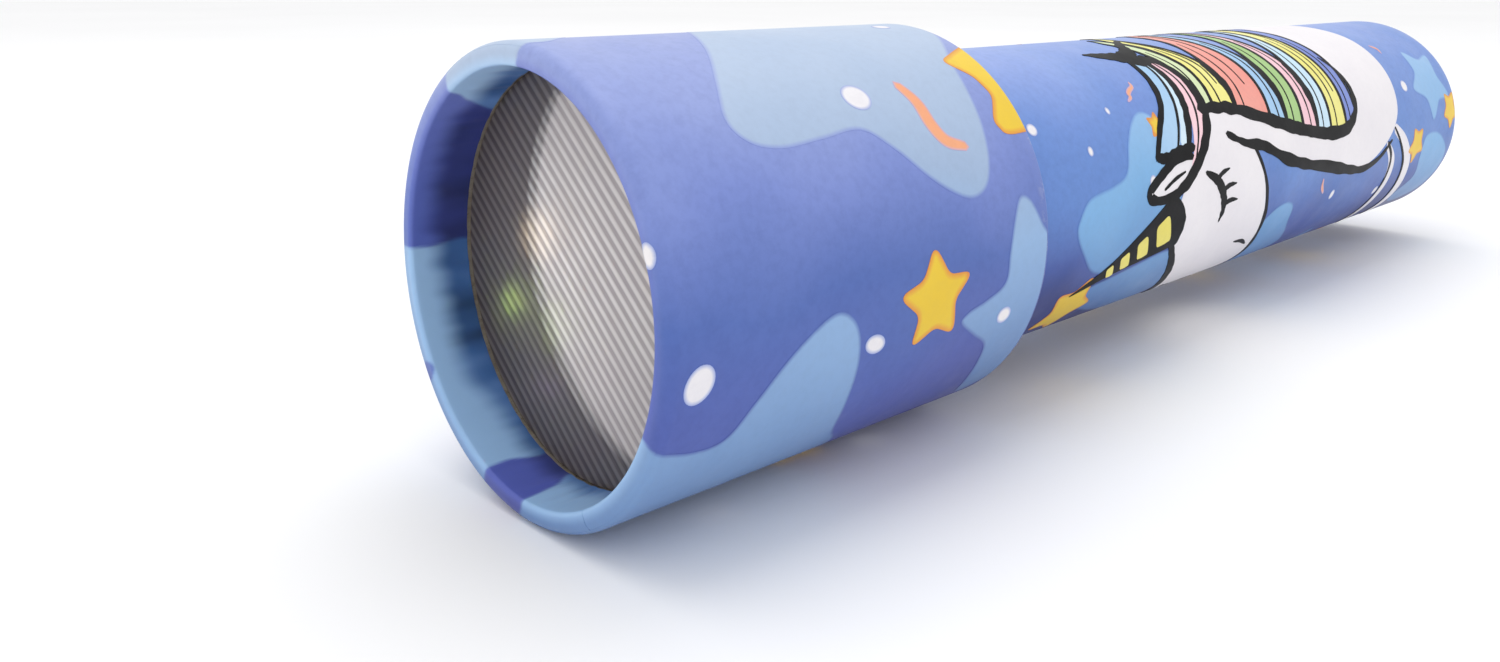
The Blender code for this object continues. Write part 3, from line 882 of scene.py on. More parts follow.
pale = [
    closed_curve(bv([(70.5, 88), (73, 82), (79, 79.5), (82.5, 76), (84.5, 66), (87.5, 58), (91, 54), (94, 57),
                     (95.5, 66), (97, 80), (98, 95), (96, 105), (91, 112), (84, 116), (77, 113), (72.5, 103),
                     (70, 94)])),
    closed_curve(bv([(78, 121), (83, 118.5), (90, 115.5), (97, 113), (102, 116), (105, 126), (108, 138), (104, 148),
                     (96, 150), (88, 144), (81, 136), (76.5, 128)])),
    closed_curve(bv([(131, 118), (134.5, 109.5), (139, 107.5), (142.5, 111), (145, 121), (149, 131), (152, 141),
                     (150, 152), (142, 156), (134, 150), (131, 136)])),
]
for s, phi, r, tilt in ((90, -62, 13.0, 10),
                        (128, -40, 12.0, 70), (112, -112, 13.0, -25), (150, -92, 12.5, 30), (184, -70, 13.5, 0),
                        (205, -122, 10.0, 50), (170, -140, 11.0, -40), (72, -132, 10.0, -70), (66, 172, 8.5, 20),
                        (166, 168, 12.0, 65), (92, 188, 10.5, -20), (200, 176, 9.5, 5), (134, 197, 9.0, 15)):
    c, v = at_body(s, phi)
    pale.append(star(c, v, r, 0.52, tilt, seed=s))
# by the tail rim, placed where they are
pale.append(star(203.0, math.radians(62.5) * R_BODY, 10.8, 0.54, -116, squash=0.86, seed=5))
pale.append(closed_curve([(s, math.radians(p) * R_BODY) for s, p in
                          ((197.2, 93), (203.2, 91.6), (208.5, 97), (212.6, 106), (213.4, 120), (211.5, 134),
                           (204, 141), (197, 137), (195.2, 128), (198.8, 118), (196.4, 105))]))
decal("body_pale_stars", pale, BODY_PROFILE, R_BODY, 0.012, PALE_BODY_INK, "body", soft=0.55,
      limits=(34.6, S_TAIL - 0.9))

neck = closed_curve(bv([(110, 58), (117, 59), (125, 63), (134, 69), (144, 75), (153, 79), (160, 79.5), (165, 76),
                        (168, 69), (169, 58), (168, 46), (166, 34), (165, 20), (165, 6), (167, -8), (171, -20),
                        (178, -28), (185, -26), (190, -14), (192, 4), (192.5, 24), (191.5, 44), (190, 62),
                        (187.5, 78), (182, 90), (174, 99), (165, 101), (155, 97), (145, 92.5), (135, 86),
                        (127, 78), (120, 76), (114, 68)]))
face = closed_curve(bv([(109, 58), (106, 66), (102.5, 76), (99, 86), (97, 97), (97.5, 108), (100.5, 117),
                        (104, 128), (107, 140), (110, 152), (115, 162), (122, 166), (129, 162), (134.3, 152),
                        (135.5, 140), (133.4, 127), (130.8, 114), (127.9, 101), (125.5, 89), (122.8, 79), (118, 69),
                        (113, 60)]))
ear = closed_curve(bv([(101.5, 75), (97, 75), (92.5, 79.5), (88.6, 85.5), (90, 88.6), (95, 88.6), (99.5, 85),
                       (102.5, 80)]))
decal("unicorn_white", [neck, face, ear], BODY_PROFILE, R_BODY, 0.036, WHITE_INK, "body", soft=0.35)

HORN_TIP, HORN_TOP, HORN_LOW = np.array([72.6, 123.4]), np.array([94.6, 89.2]), np.array([99.3, 111.6])
HORN_DARK = soft_corners(bv([tuple(HORN_TIP), (80.6, 112.2), (86.4, 101.8), tuple(HORN_TOP), (97.6, 96.0),
                             (99.6, 103.0), tuple(HORN_LOW), (91.0, 114.2), (82.0, 117.2)]), (0.25,))
panels = []
for f0, f1 in ((0.07, 0.21), (0.29, 0.39), (0.46, 0.54), (0.60, 0.66)):
    q = []
    for f, side in ((f0, 0.22), (f0, 0.80), (f1, 0.78), (f1, 0.24)):
        a = HORN_TOP * (1 - f) + HORN_TIP * f
        b = HORN_LOW * (1 - f) + HORN_TIP * f
        bulge = np.array([1.1, -0.6]) * math.sin(math.pi * side) * (1 - f)
        q.append(tuple(a * (1 - side) + b * side + bulge))
    q.insert(2, tuple((np.array(q[1]) + np.array(q[2])) / 2 + np.array([0.2, 0.3])))
    panels.append(soft_corners(bv(q), (0.24,)))
decal("horn_panels", panels, BODY_PROFILE, R_BODY, 0.094, HORN_INK, "body")

# Each strand line runs from the crest of the neck, bulges towards the tail and
# ends on top of the tube. A lock fills the space between two strand lines.
CREST = open_curve([(108.6, 57), (113.5, 57.4), (119.5, 59), (130.5, 66.5), (136.5, 70.5), (142.5, 74),
                    (148, 76.6), (154, 78.2), (161.5, 77.6), (166.8, 70)], 10)


def crest_phi(s):
    return float(np.interp(s, CREST[:, 0], CREST[:, 1]))


def strand(base, top, bulge, tip_phi):
    b = crest_phi(base)
    return [(base, b), (base + bulge * 0.75, b - 0.26 * (b - tip_phi)), (base + bulge * 0.75, b - 0.52 * (b - tip_phi)),
            (0.45 * base + 0.55 * top + bulge * 0.6, b - 0.80 * (b - tip_phi)), (top, tip_phi)]


LOCKS = [  # colour, base s from and to, top s from and to, bulge from and to, top phi
    ("lime", 109.0, 113.0, 106.0, 109.6, 0.8, 1.6, 13), ("lemon", 113.0, 120.0, 109.6, 113.4, 1.6, 1.0, 10),
    ("coral", 120.0, 130.6, 121.8, 127.8, 2.2, 1.8, 4), ("sky", 130.6, 136.2, 127.8, 131.2, 1.8, 0.8, 3),
    ("leaf", 136.2, 142.2, 138.0, 140.8, 2.2, 2.0, 3), ("rose", 142.2, 148.0, 140.8, 143.2, 2.0, 0.8, 3),
    ("ice", 148.0, 153.8, 150.6, 153.4, 2.0, 1.6, 4), ("lemon", 153.8, 161.0, 153.6, 159.6, 1.6, 1.2, 3),
    ("iris", 161.0, 166.6, 159.6, 165.0, 1.2, 0.5, 5)]
lock_shapes = {}
lines = [HORN_DARK]
for k, (hue, b0, b1, t0, t1, g0, g1, tip_phi) in enumerate(LOCKS):
    tip = ((t0 + t1) / 2 - 2.6, tip_phi - 12.0 - 3.2 * ((k * 5) % 3))
    drop = [(t0 - 0.9, tip_phi - 5.0), tip], [(t1 - 1.8, tip_phi - 6.5), tip]
    left = open_curve(strand(b0, t0, g0, tip_phi) + drop[0], 8)
    rgt = open_curve(strand(b1, t1, g1, tip_phi) + drop[1], 8)
    base = np.array([(s, crest_phi(s)) for s in np.linspace(b0, b1, 8)])
    lock_shapes.setdefault(hue, []).append(np.array(bv(np.vstack([base, rgt[1:], left[::-1][1:-1]]).tolist())))
    lines.append(stroke(bv(strand(b0, t0, g0, tip_phi) + drop[0]), 0.9, 0.3, 0.9, 0.35, k))
    lines.append(stroke(bv(strand(b1, t1, g1, tip_phi) + drop[1]), 0.9, 0.3, 0.9, 0.35, 120 + k))
    if k + 1 < len(LOCKS) and LOCKS[k + 1][3] > t1 + 1.0:
        # the dark point under each teardrop
        c = crest_phi(b1)
        g = (g1 + LOCKS[k + 1][5]) / 2
        lines.append(stroke(bv([(b1, c), (b1 + g * 0.7, c - 0.20 * (c - tip_phi)), (b1 + g * 0.6, c - 0.38 * (c - tip_phi)),
                                (b1 + g * 0.2 - 0.2, c - 0.50 * (c - tip_phi))]), 0.9, 0.5, 2.3, 0.25, 140 + k))
    inner = 2 if b1 - b0 > 6.5 else 1
    for j in range(1, inner + 1):
        f = j / (inner + 1) + (0.06 if k % 2 else -0.06)
        mid = [(a[0] * (1 - f) + c[0] * f, a[1] * (1 - f) + c[1] * f)
               for a, c in zip(strand(b0, t0, g0, tip_phi), strand(b1, t1, g1, tip_phi))]
        far = (mid[-1][0] * 0.55 + tip[0] * 0.45, mid[-1][1] * 0.55 + tip[1] * 0.45)
        lines.append(stroke(bv(mid[:4] if j % 2 else mid[1:] + [far]), 0.34, 0.16, 0.44, 0.3, 20 + 3 * k + j))

# forelock, falling over the forehead
fore = {
    "sky": [[(101.2, 27), (100.6, 40), (98.8, 52), (95, 63), (91.8, 73), (94.5, 74.5), (98, 71.5), (100.4, 62),
             (102.4, 50), (103.6, 38), (103.8, 28)]],
    "ice": [[(103.8, 28), (103.8, 38), (102.6, 50), (100.8, 61), (99, 70), (101.5, 71), (103.6, 62), (105.2, 50),
             (105.8, 38), (105, 28)]],
    "rose": [[(105, 27), (106.2, 38), (105.8, 50), (104.2, 62), (102.6, 72), (101, 80), (105.5, 76), (108.2, 66),
              (109.8, 54), (109.8, 42), (107.8, 31)]],
}
for hue, polys in fore.items():
    for q in polys:
        lock_shapes.setdefault(hue, []).append(closed_curve(bv(q), 5))
for hue, shapes in sorted(lock_shapes.items()):
    decal("mane_" + hue, shapes, BODY_PROFILE, R_BODY, 0.048, LOCK_INKS[hue], "body")

for pts, w0, w1, mid, seed in (
        ([(100.8, 26), (100.2, 40), (98.2, 52), (94.2, 63), (91.2, 73.5)], 1.2, 0.9, 1.3, 51),
        ([(103.6, 27), (103.7, 38), (102.3, 51), (100, 62), (97.6, 71.5)], 0.6, 0.4, 0.7, 52),
        ([(104.8, 27), (105.6, 40), (104.8, 52), (102.8, 63), (100.4, 74)], 1.1, 0.9, 1.8, 53),
        ([(106.6, 30), (108, 42), (107.4, 54), (105.4, 65), (102.6, 76)], 0.35, 0.3, 0.5, 54),
        ([(106.4, 25), (109.4, 35), (110.6, 48), (109.4, 60), (105.8, 72), (101, 82), (95.5, 89.5)], 1.3, 1.5, 2.0, 55),
        ([(91.4, 73.4), (95, 74.2), (99.5, 72.4), (102.4, 71.6)], 1.2, 1.3, 1.9, 56),
        ([(92.6, 19.8), (97.0, 22.4), (101.6, 24.4), (105.4, 20), (107.6, 13), (111, 6)], 0.5, 1.0, 2.9, 57),
        ([(98.6, 23), (102.8, 27), (107.0, 28)], 1.6, 1.6, 3.4, 58),
        ([(108.6, 57), (113.5, 57.4), (119.5, 59.4), (130.5, 67), (136.5, 71), (142.5, 74.4), (148, 77),
          (154, 78.8), (161.5, 78), (166.8, 70), (168.4, 58), (167.4, 47), (165.4, 38)], 1.8, 0.5, 2.3, 59),
        ([(114, 69.5), (119.5, 74.6), (126, 77.6), (134, 85.2), (143, 90.6), (152, 94.2), (162, 98.8), (171, 101.6),
          (178.5, 98.4), (184.6, 90)], 1.2, 0.5, 2.0, 60),
        ([(97.6, 109), (100.8, 118), (104, 128), (107, 140), (110, 152), (115.5, 162.5), (122, 166.5)], 1.3, 1.0, 1.7, 61),
        ([(122.4, 77), (126, 90), (129.4, 105), (132.4, 121), (134.8, 138), (133.4, 152), (128, 163), (122, 166.5)],
         0.7, 1.0, 1.1, 62),
        ([(101.4, 75), (96.6, 75.4), (92, 79.8), (88.2, 85.8), (90.4, 89.2), (95.4, 89), (100, 85), (103, 79)],
         1.1, 1.2, 1.5, 63),
        ([(92.6, 85.6), (95.6, 82.6), (98.8, 80.6)], 0.4, 0.3, 0.6, 64),
        # a closed eye with three lashes
        ([(105.4, 83), (108.8, 87), (111.2, 93), (112.4, 100), (112.2, 106)], 0.7, 0.5, 1.9, 65),
        ([(108.8, 87), (110.6, 84.6), (113, 83.4)], 0.8, 0.2, 0.8, 66),
        ([(110.8, 92.4), (113.2, 90.6), (115.6, 90.4)], 0.8, 0.2, 0.8, 67),
        ([(112.2, 98.4), (114.4, 97.4), (116.8, 97.8)], 0.8, 0.2, 0.8, 68),
        # nostril and mouth, round on the underside
        ([(112.4, 148), (114.2, 150.5), (115.6, 150)], 0.6, 0.4, 1.0, 69),
        ([(119.5, 164), (121.8, 157), (125, 152)], 0.5, 0.3, 0.8, 70),
        ([(124, 123), (127.4, 124.4), (130.6, 128)], 0.3, 0.3, 0.8, 71),
        # a curl of outline where the horn meets the brow
        ([(94.2, 88.6), (97.4, 93.4), (99.4, 101), (99.4, 110.6)], 1.2, 1.0, 1.5, 74)):
    lines.append(stroke(bv(pts), w0, w1, mid, 0.35 if mid > 1.0 else 0.2, seed))
ribbons = [stroke(bv([(186.4, 84), (191.5, 92), (196.6, 104), (200.6, 118), (203.6, 134), (205, 150)]), 2.0, 3.0, 3.2),
           stroke(bv([(182.6, 92), (187, 102), (189.6, 116), (190.6, 132), (190.8, 150)]), 1.6, 3.2, 3.0)]
decal("ribbons", ribbons, BODY_PROFILE, R_BODY, 0.026, WHITE_INK, "body", soft=0.7)
lines.append(stroke(bv([(182.8, 91), (186, 100), (188, 114), (188.8, 132), (188.8, 150)]), 0.9, 0.3, 0.7, 0.2, 91))
lines.append(stroke(bv([(186, 83.6), (189.6, 92), (194.4, 104), (198.2, 118), (201, 134), (202, 150)]), 0.5, 0.2, 0.7, 0.2, 92))
decal("unicorn_outline", lines, BODY_PROFILE, R_BODY, 0.074, OUTLINE_INK, "body", step=0.6)

stars, dots, squiggles = [], [], []
for s, phi, r, tilt in ((75.8, 131, 6.0, -70), (94.0, 61, 2.4, 0), (200.4, 96.5, 4.2, -50),
                        (92, -22, 4.8, 10), (112, -72, 5.2, -30), (140, -20, 4.6, 50), (168, -98, 5.2, 0),
                        (196, -38, 4.4, 40), (134, -138, 5.0, -60), (84, -98, 4.4, 20), (188, -128, 4.8, -20),
                        (152, 188, 4.8, 30), (184, 165, 4.6, -10), (78, 190, 4.2, 60), (112, 196, 4.6, 0)):
    c, v = at_body(s, phi)
    stars.append(star(c, v, r * 1.08, 0.56, tilt, seed=s))
stars.append(star(211.4, math.radians(81.0) * R_BODY, 4.6, 0.58, 20, seed=7))
decal("body_stars", stars, BODY_PROFILE, R_BODY, 0.030, STAR_INK, "body", soft=0.7,
      limits=(34.6, S_TAIL - 0.9))
for s, phi, ra, rb, t in ((64.2, 55, 1.0, 0.9, 0), (95.2, -21.5, 1.2, 0.8, 0), (89.4, 81.4, 0.9, 0.9, 0), (75.0, 66, 0.6, 0.7, 0),
                          (196.2, 62.4, 1.4, 1.2, 0), (186.6, 120, 1.0, 1.0, 0), (83.4, 52, 0.5, 0.6, 0),
                          (160, 112, 0.9, 1.0, 0), (100, -36, 1.3, 1.2, 0), (120, -90, 1.4, 1.2, 0),
                          (146, -58, 1.2, 1.2, 0), (160, -50, 0.9, 1.0, 0), (176, -114, 1.3, 1.2, 0),
                          (204, -70, 1.2, 1.2, 0), (98, -128, 1.3, 1.1, 0), (70, -80, 1.2, 1.2, 0),
                          (70, 150, 1.1, 1.1, 0), (124, 184, 1.2, 1.1, 0), (176, 190, 1.2, 1.2, 0)):
    c, v = at_body(s, phi)
    dots.append(dot(c, v, ra, rb, t))
decal("body_dots", dots, BODY_PROFILE, R_BODY, 0.034, DOT_INK, "body", soft=0.35)
for pts in ([(94.2, 40.6), (94.0, 42.6), (92.6, 44.2), (91.6, 45.8), (91.4, 47.6), (90.2, 49.2)], [(152.2, 101), (152.8, 105), (154.6, 109)],
            [(196.4, 33), (198, 36), (197.6, 39.6)],
            [(104, -52), (106, -49), (106.4, -44), (109, -41)], [(156, -118), (158, -114), (157.6, -109), (160, -106)],
            [(178, -36), (180, -33), (180, -28), (182.4, -26)], [(126, -66), (128, -63), (127.8, -58), (130, -55)],
            [(80, -46), (82, -44), (82, -39), (84, -37)], [(146, 172), (148, 175), (148, 180), (150, 183)]):
    squiggles.append(stroke(bv(pts), 0.45, 0.4, 0.85))
decal("body_squiggles", squiggles, BODY_PROFILE, R_BODY, 0.038, SQUIGGLE_INK, "body", soft=0.3)


# ---- diffuser ---------------------------------------------------------------------------
def ribbed_disc(name, node, radius, pitch, depth, angle, mat, body):
    """A clear-milky sheet with half-round ribs on its front and a smooth back."""
    lo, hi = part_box(node)
    x_back, x_top = hi.x - 0.00005, lo.x + 0.00005
    per = 8
    p = np.arange(-radius, radius + 1e-9, pitch / per)
    p = np.clip(p, -radius + 0.02, radius - 0.02)
    m = 24
    n = len(p)
    half = np.sqrt(np.maximum(radius ** 2 - p ** 2, 1e-6))
    q = half[:, None] * np.sin(np.linspace(-math.pi / 2, math.pi / 2, m))[None, :]
    t = (p / pitch) % 1.0
    rib = depth * np.sqrt(np.clip(1 - (2 * t - 1) ** 2, 0, 1)) ** 0.8
    wob = np.array([[0.012 * noise.noise(Vector((p[i] * 0.12, q[i, j] * 0.1, 3.0))) for j in range(m)] for i in range(n)])
    hgt = rib[:, None] + wob
    edge = np.clip((radius - np.hypot(p[:, None], q)) / 0.25, 0, 1)
    hgt = hgt * edge
    ca, sa = math.cos(math.radians(angle)), math.sin(math.radians(angle))
    y = p[:, None] * -sa + q * ca
    z = p[:, None] * ca + q * sa
    front = np.stack([x_top + (depth - hgt) * MM, y * MM, AZ + z * MM], -1)
    rear = front.copy()
    rear[..., 0] = x_back
    verts = np.concatenate([front.reshape(-1, 3), rear.reshape(-1, 3)])
    k = n * m
    faces = []
    for i in range(n - 1):
        for j in range(m - 1):
            a, b, c, d = i * m + j, i * m + j + 1, (i + 1) * m + j + 1, (i + 1) * m + j
            faces.append((a, b, c, d))
            faces.append((d + k, c + k, b + k, a + k))
    rim = [i * m for i in range(n)] + [(n - 1) * m + j for j in range(1, m)] \
        + [i * m + m - 1 for i in range(n - 2, -1, -1)] + [j for j in range(m - 2, 0, -1)]
    for a, b in zip(rim, rim[1:] + rim[:1]):
        faces.append((a, b, b + k, a + k))
    a, b, c = (Vector(verts[v]) for v in faces[(n // 2) * (m - 1) * 2][:3])
    if (b - a).cross(c - b).x > 0:
        faces = [tuple(reversed(f)) for f in faces]
    me = mesh_from(name, verts, faces)
    me.set_sharp_from_angle(angle=math.radians(40))
    att = me.attributes.new("rib", "FLOAT", "POINT")
    crest = np.repeat((rib / depth)[:, None], m, 1).ravel()
    att.data.foreach_set("value", np.concatenate([crest, crest]).astype(np.float32))
    ob = link_object(name, me, [mat])
    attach(ob, body)
    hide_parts(node)
    return ob


def diffuser_material():
    n = Nodes("diffuser_sheet", Roughness=0.46, IOR=1.49, Transmission_Weight=0.80)
    haze = n.noise(70.0, 3.0)
    col = n.ramp(haze, [(0.3, lin(144, 135, 143)), (0.7, lin(156, 149, 152))])
    # Painted highlight and shade on the ribs: each crest is painted light and each groove dark.
    lines = n.ramp(n.attribute("rib"), [(0.80, lin(108, 97, 103)), (0.985, lin(208, 200, 199))])
    n.colour(n.mix(0.70, col, lines))
    n.bump(n.noise(2600.0, 2.0), 0.15, 0.00004)
    smooth = n.remap(n.attribute("rib"), 0.80, 0.985, 0.0, -0.15)
    n.rough(n.math("ADD", n.remap(n.noise(240.0, 3.0), 0.3, 0.7, 0.53, 0.60), smooth))
    return n.mat


ribbed_disc("diffuser", "diffuser_disc", 22.5, 1.27, 0.10, 42.0, diffuser_material(), "head")


# ---- card, mirror and plastic on the pieces that keep their CAD shape -----------------------
def card(name, light, dark, rough=0.9):
    n = Nodes(name, Roughness=rough)
    fib = n.noise(900.0, 4.0, 0.7, vector=n.stretched(0.35, 1.0, 1.0))
    col = n.ramp(fib, [(0.3, dark), (0.7, light)])
    fleck = n.noise(2400.0, 2.0, 0.5)
    col = n.mix(n.remap(fleck, 0.62, 0.72, 0.0, 0.5), col, lin(70, 62, 52))
    n.colour(col)
    n.bump(fib, 0.35, 0.00012)
    n.rough(n.remap(fleck, 0.3, 0.7, rough - 0.1, min(1.0, rough + 0.06)))
    return n.mat


GREY_CARD = card("grey_card", lin(176, 166, 150), lin(142, 131, 114))
COLLAR_CARD = card("collar_card", lin(168, 156, 136), lin(132, 121, 102))
WHITE_CARD = card("white_card", lin(226, 222, 212), lin(204, 199, 188))
BLACK_CARD = card("black_card", lin(34, 34, 37), lin(20, 20, 23), 0.85)
BACK_CARD = card("backing_card", lin(108, 102, 94), lin(82, 77, 70))
EYE_CARD = print_ink("eye_card", lin(66, 84, 158), rim=lin(66, 84, 158), shade=lin(84, 104, 178))


def mirror():
    n = Nodes("mirror_strip", Metallic=1.0)
    streak = n.noise(160.0, 3.0, 0.6, vector=n.stretched(0.08, 1.0, 1.0))
    n.colour(n.ramp(streak, [(0.3, lin(236, 240, 242)), (0.7, lin(246, 248, 248))]))
    n.rough(n.remap(n.noise(420.0, 4.0, 0.7), 0.45, 0.75, 0.015, 0.07))
    return n.mat


def clear_plastic():
    n = Nodes("clear_window", IOR=1.49, Transmission_Weight=1.0)
    n.colour(n.ramp(n.noise(90.0, 2.0), [(0.3, lin(246, 249, 250)), (0.7, lin(252, 253, 253))]))
    n.rough(n.remap(n.noise(500.0, 4.0, 0.7), 0.45, 0.75, 0.02, 0.10))
    return n.mat


CLEAR = clear_plastic()


def foam():
    n = Nodes("pad_foam", Roughness=0.95)
    cell = n.voronoi(1400.0)
    n.colour(n.ramp(cell, [(0.1, lin(196, 190, 176)), (0.6, lin(230, 226, 214))]))
    n.bump(cell, 0.8, 0.0003)
    return n.mat


def bead(name, light, dark):
    n = Nodes(name, IOR=1.49, Transmission_Weight=0.55)
    n.colour(n.ramp(n.noise(420.0, 3.0), [(0.3, dark), (0.7, light)]))
    n.rough(n.remap(n.noise(900.0, 3.0), 0.3, 0.7, 0.08, 0.22))
    n.bump(n.noise(700.0, 2.0), 0.12, 0.0002)
    return n.mat


BEADS = {
    "red": bead("red_plastic", lin(226, 44, 44), lin(190, 22, 30)),
    "green": bead("green_plastic", lin(192, 218, 112), lin(138, 186, 82)),
    "yellow": bead("yellow_plastic", lin(246, 210, 50), lin(228, 178, 28)),
    "olive": bead("olive_plastic", lin(118, 126, 50), lin(84, 92, 34)),
    "violet": bead("violet_plastic", lin(200, 184, 236), lin(170, 152, 220)),
    "pink": bead("pink_plastic", lin(238, 124, 160), lin(222, 92, 136)),
    "clear": bead("clear_bead", lin(248, 242, 222), lin(236, 228, 204)),
    "blue": bead("blue_plastic", lin(74, 120, 232), lin(46, 88, 204)),
}


def dress(node, mat):
    ob = frame["nodes"][node]
    if not ob.material_slots:
        ob.data.materials.append(mat)
    for s in ob.material_slots:
        s.material = mat


for node in frame["nodes"]:
    if node in ("head_tube", "body_tube"):
        dress(node, GREY_CARD)
    elif node == "front_mask":
        dress(node, BLACK_CARD)
    elif node.startswith("mirror_backing"):
        dress(node, BACK_CARD)
    elif node.startswith("mirror_"):
        dress(node, mirror())
    elif node.startswith("pad_"):
        dress(node, foam())


# ---- turned pieces and loose pieces, remade finer than their CAD shapes -----------------
def turned(name, node, profile, mat, body, segs=128):
    """A piece turned about the tube's axis from (s, r) points in mm. One that starts
    and ends on the axis is a disc, any other is closed to a ring."""
    segs = segs
    on_axis = profile[0][1] == 0.0 and profile[-1][1] == 0.0
    verts, faces, rows = [], [], []
    for s, r in profile:
        if r == 0.0:
            rows.append([len(verts)] * segs)
            verts.append((X0 + s * MM, 0.0, AZ))
        else:
            k = len(verts)
            rows.append(list(range(k, k + segs)))
            for i in range(segs):
                a = 2 * math.pi * i / segs
                verts.append((X0 + s * MM, r * math.sin(a) * MM, AZ + r * math.cos(a) * MM))
    last = len(rows) - 1 if on_axis else len(rows)
    for i in range(last):
        a, b = rows[i], rows[(i + 1) % len(rows)]
        for j in range(segs):
            k = (j + 1) % segs
            f = [a[j], a[k], b[k], b[j]]
            f = [v for q, v in enumerate(f) if v != f[q - 1]]
            faces.append(tuple(f))
    me = mesh_from(name, verts, faces)
    bm = bmesh.new()
    bm.from_mesh(me)
    bmesh.ops.recalc_face_normals(bm, faces=bm.faces[:])
    bm.to_mesh(me)
    bm.free()
    me.shade_smooth()
    me.set_sharp_from_angle(angle=math.radians(50))
    ob = link_object(name, me, [mat])
    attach(ob, body)
    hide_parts(node)
    return ob


def eased(s0, s1, r_out, r_in, e=0.12):
    """A ring's section with its four edges eased."""
    return (bend(s0 + e, r_out - e, e, 180, 90, 3) + bend(s1 - e, r_out - e, e, 90, 0, 3)
            + bend(s1 - e, r_in + e, e, 0, -90, 3) + bend(s0 + e, r_in + e, e, 270, 180, 3))


def eased_disc(s0, s1, r, e=0.12):
    return [(s0, 0.0)] + bend(s0 + e, r - e, e, 180, 90, 3) + bend(s1 - e, r - e, e, 90, 0, 3) + [(s1, 0.0)]


turned("cell_wall", "cell_ring", eased(8.62, 19.58, 22.58, 21.42, 0.2), WHITE_CARD, "head")
turned("cell_glazing", "cell_window", eased_disc(19.92, 20.68, 22.58), CLEAR, "head")
turned("retainer_ring", "window_retainer", eased(21.02, 23.98, 22.58, 20.92, 0.2), COLLAR_CARD, "head")
turned("bearing_sleeve", "head_collar", eased(34.02, 56.38, 22.68, 21.42, 0.2), COLLAR_CARD, "head")
turned("stop_ring", "stop_collar", eased(25.32, 33.38, 22.58, 20.82, 0.2), COLLAR_CARD, "body")
turned("eye_glass_ring", "eye_window_ring", eased(206.02, 207.88, 17.98, 16.62, 0.2), BLACK_CARD, "body")
turned("eye_glass", "eye_window", eased_disc(208.22, 208.98, 17.98), CLEAR, "body")
turned("eye_spacer", "eyepiece_spacer", eased(209.32, 211.68, 17.98, 16.62, 0.2), BLACK_CARD, "body")
turned("eyepiece", "eyepiece_plate",
       bend(212.14, 17.84, 0.12, 180, 90, 3) + bend(212.98, 17.80, 0.16, 90, 0, 4)
       + [(213.12, 10.2), (213.04, 9.6), (212.98, 9.2), (212.98, 8.2), (213.06, 7.6), (213.16, 7.0)]
       + bend(212.78, 5.93, 0.40, 0, -70, 6) + bend(212.50, 5.98, 0.46, -110, -180, 6),
       EYE_CARD, "body", 192)


# angle from straight down towards +Y, and a spin in the piece's own plane, as in the CAD
def placed(s, radius, angle, spin):
    a = math.radians(angle)
    radial = Vector((0, math.sin(a), -math.cos(a)))
    tangent = Vector((0, math.cos(a), math.sin(a)))
    m = Matrix(((0, 0, 1), (tangent.y, radial.y, 0), (tangent.z, radial.z, 0))).to_4x4()
    return (Matrix.Translation((X0 + s * MM, radius * radial.y * MM, AZ + radius * radial.z * MM)) @ m
            @ Matrix.Rotation(math.radians(spin), 4, "Z") @ Matrix.Scale(MM, 4))


def pillow(outline, thick, hole=0.0, rings=7, relief=None, edge=0.22):
    """A moulded piece: its outline shrunk in rings towards the middle (or the hole),
    its edge rounded over, its two faces carrying the relief."""
    out = np.array(outline, float)
    n = len(out)
    size = np.hypot(*out.T).max()
    ang = np.arctan2(out[:, 1], out[:, 0])
    core = np.stack([np.cos(ang), np.sin(ang)], 1) * hole
    ts = [0.0] + [0.04, 0.10, 0.18] + list(np.linspace(0.3, 1.0, rings - 3))
    verts, rows = [], []
    for side in (1, -1):
        for t in (ts if side == 1 else ts[1:]):
            if t == 1.0 and hole == 0.0:
                rows.append((side, t, [len(verts)] * n))
                h = thick / 2.0 + (relief(np.zeros((1, 2)), 1.0)[0] if relief else 0.0)
                verts.append((0.0, 0.0, side * h))
                continue
            p = out * (1 - t) + core * t
            d = t * size * (1 - hole / size)
            lift = thick / 2.0 * np.sqrt(np.clip(1 - (1 - min(1.0, d / (edge * thick * 2.2))) ** 2, 0.0, 1.0))
            h = np.full(n, lift)
            if relief is not None and t > 0:
                h = h + relief(p, t) * min(1.0, d / 0.4)
            if hole > 0.0 and t == 1.0:
                h = h * 0.55
            rows.append((side, t, list(range(len(verts), len(verts) + n))))
            verts.extend((p[i, 0], p[i, 1], side * h[i]) for i in range(n))
    top = [r[2] for r in rows if r[0] == 1]
    low = [top[0]] + [r[2] for r in rows if r[0] == -1]
    faces = []
    for strip, flip in ((top, False), (low, True)):
        for a, b in zip(strip, strip[1:]):
            for i in range(n):
                j = (i + 1) % n
                f = [a[i], a[j], b[j], b[i]]
                f = [v for q, v in enumerate(f) if v != f[q - 1]]
                faces.append(tuple(reversed(f)) if flip else tuple(f))
    if hole > 0.0:
        a, b = top[-1], low[-1]
        for i in range(n):
            j = (i + 1) % n
            faces.append((a[i], a[j], b[j], b[i]))
    return verts, faces


def petal(lobes, r, depth, n=60):
    return [(r * (1 - depth + depth * math.cos(lobes * a)) * math.sin(a),
             r * (1 - depth + depth * math.cos(lobes * a)) * math.cos(a)) for a in
            [2 * math.pi * i / n for i in range(n)]]


def petal_relief(lobes, depth):
    def fn(p, t):
        a = np.arctan2(p[:, 0], p[:, 1])
        groove = np.exp(-((np.cos(lobes * a) + 1.0) / 0.35) ** 2)
        vein = 0.05 * np.cos(lobes * 4 * a) * (1 - t)
        return -depth * groove + vein
    return fn


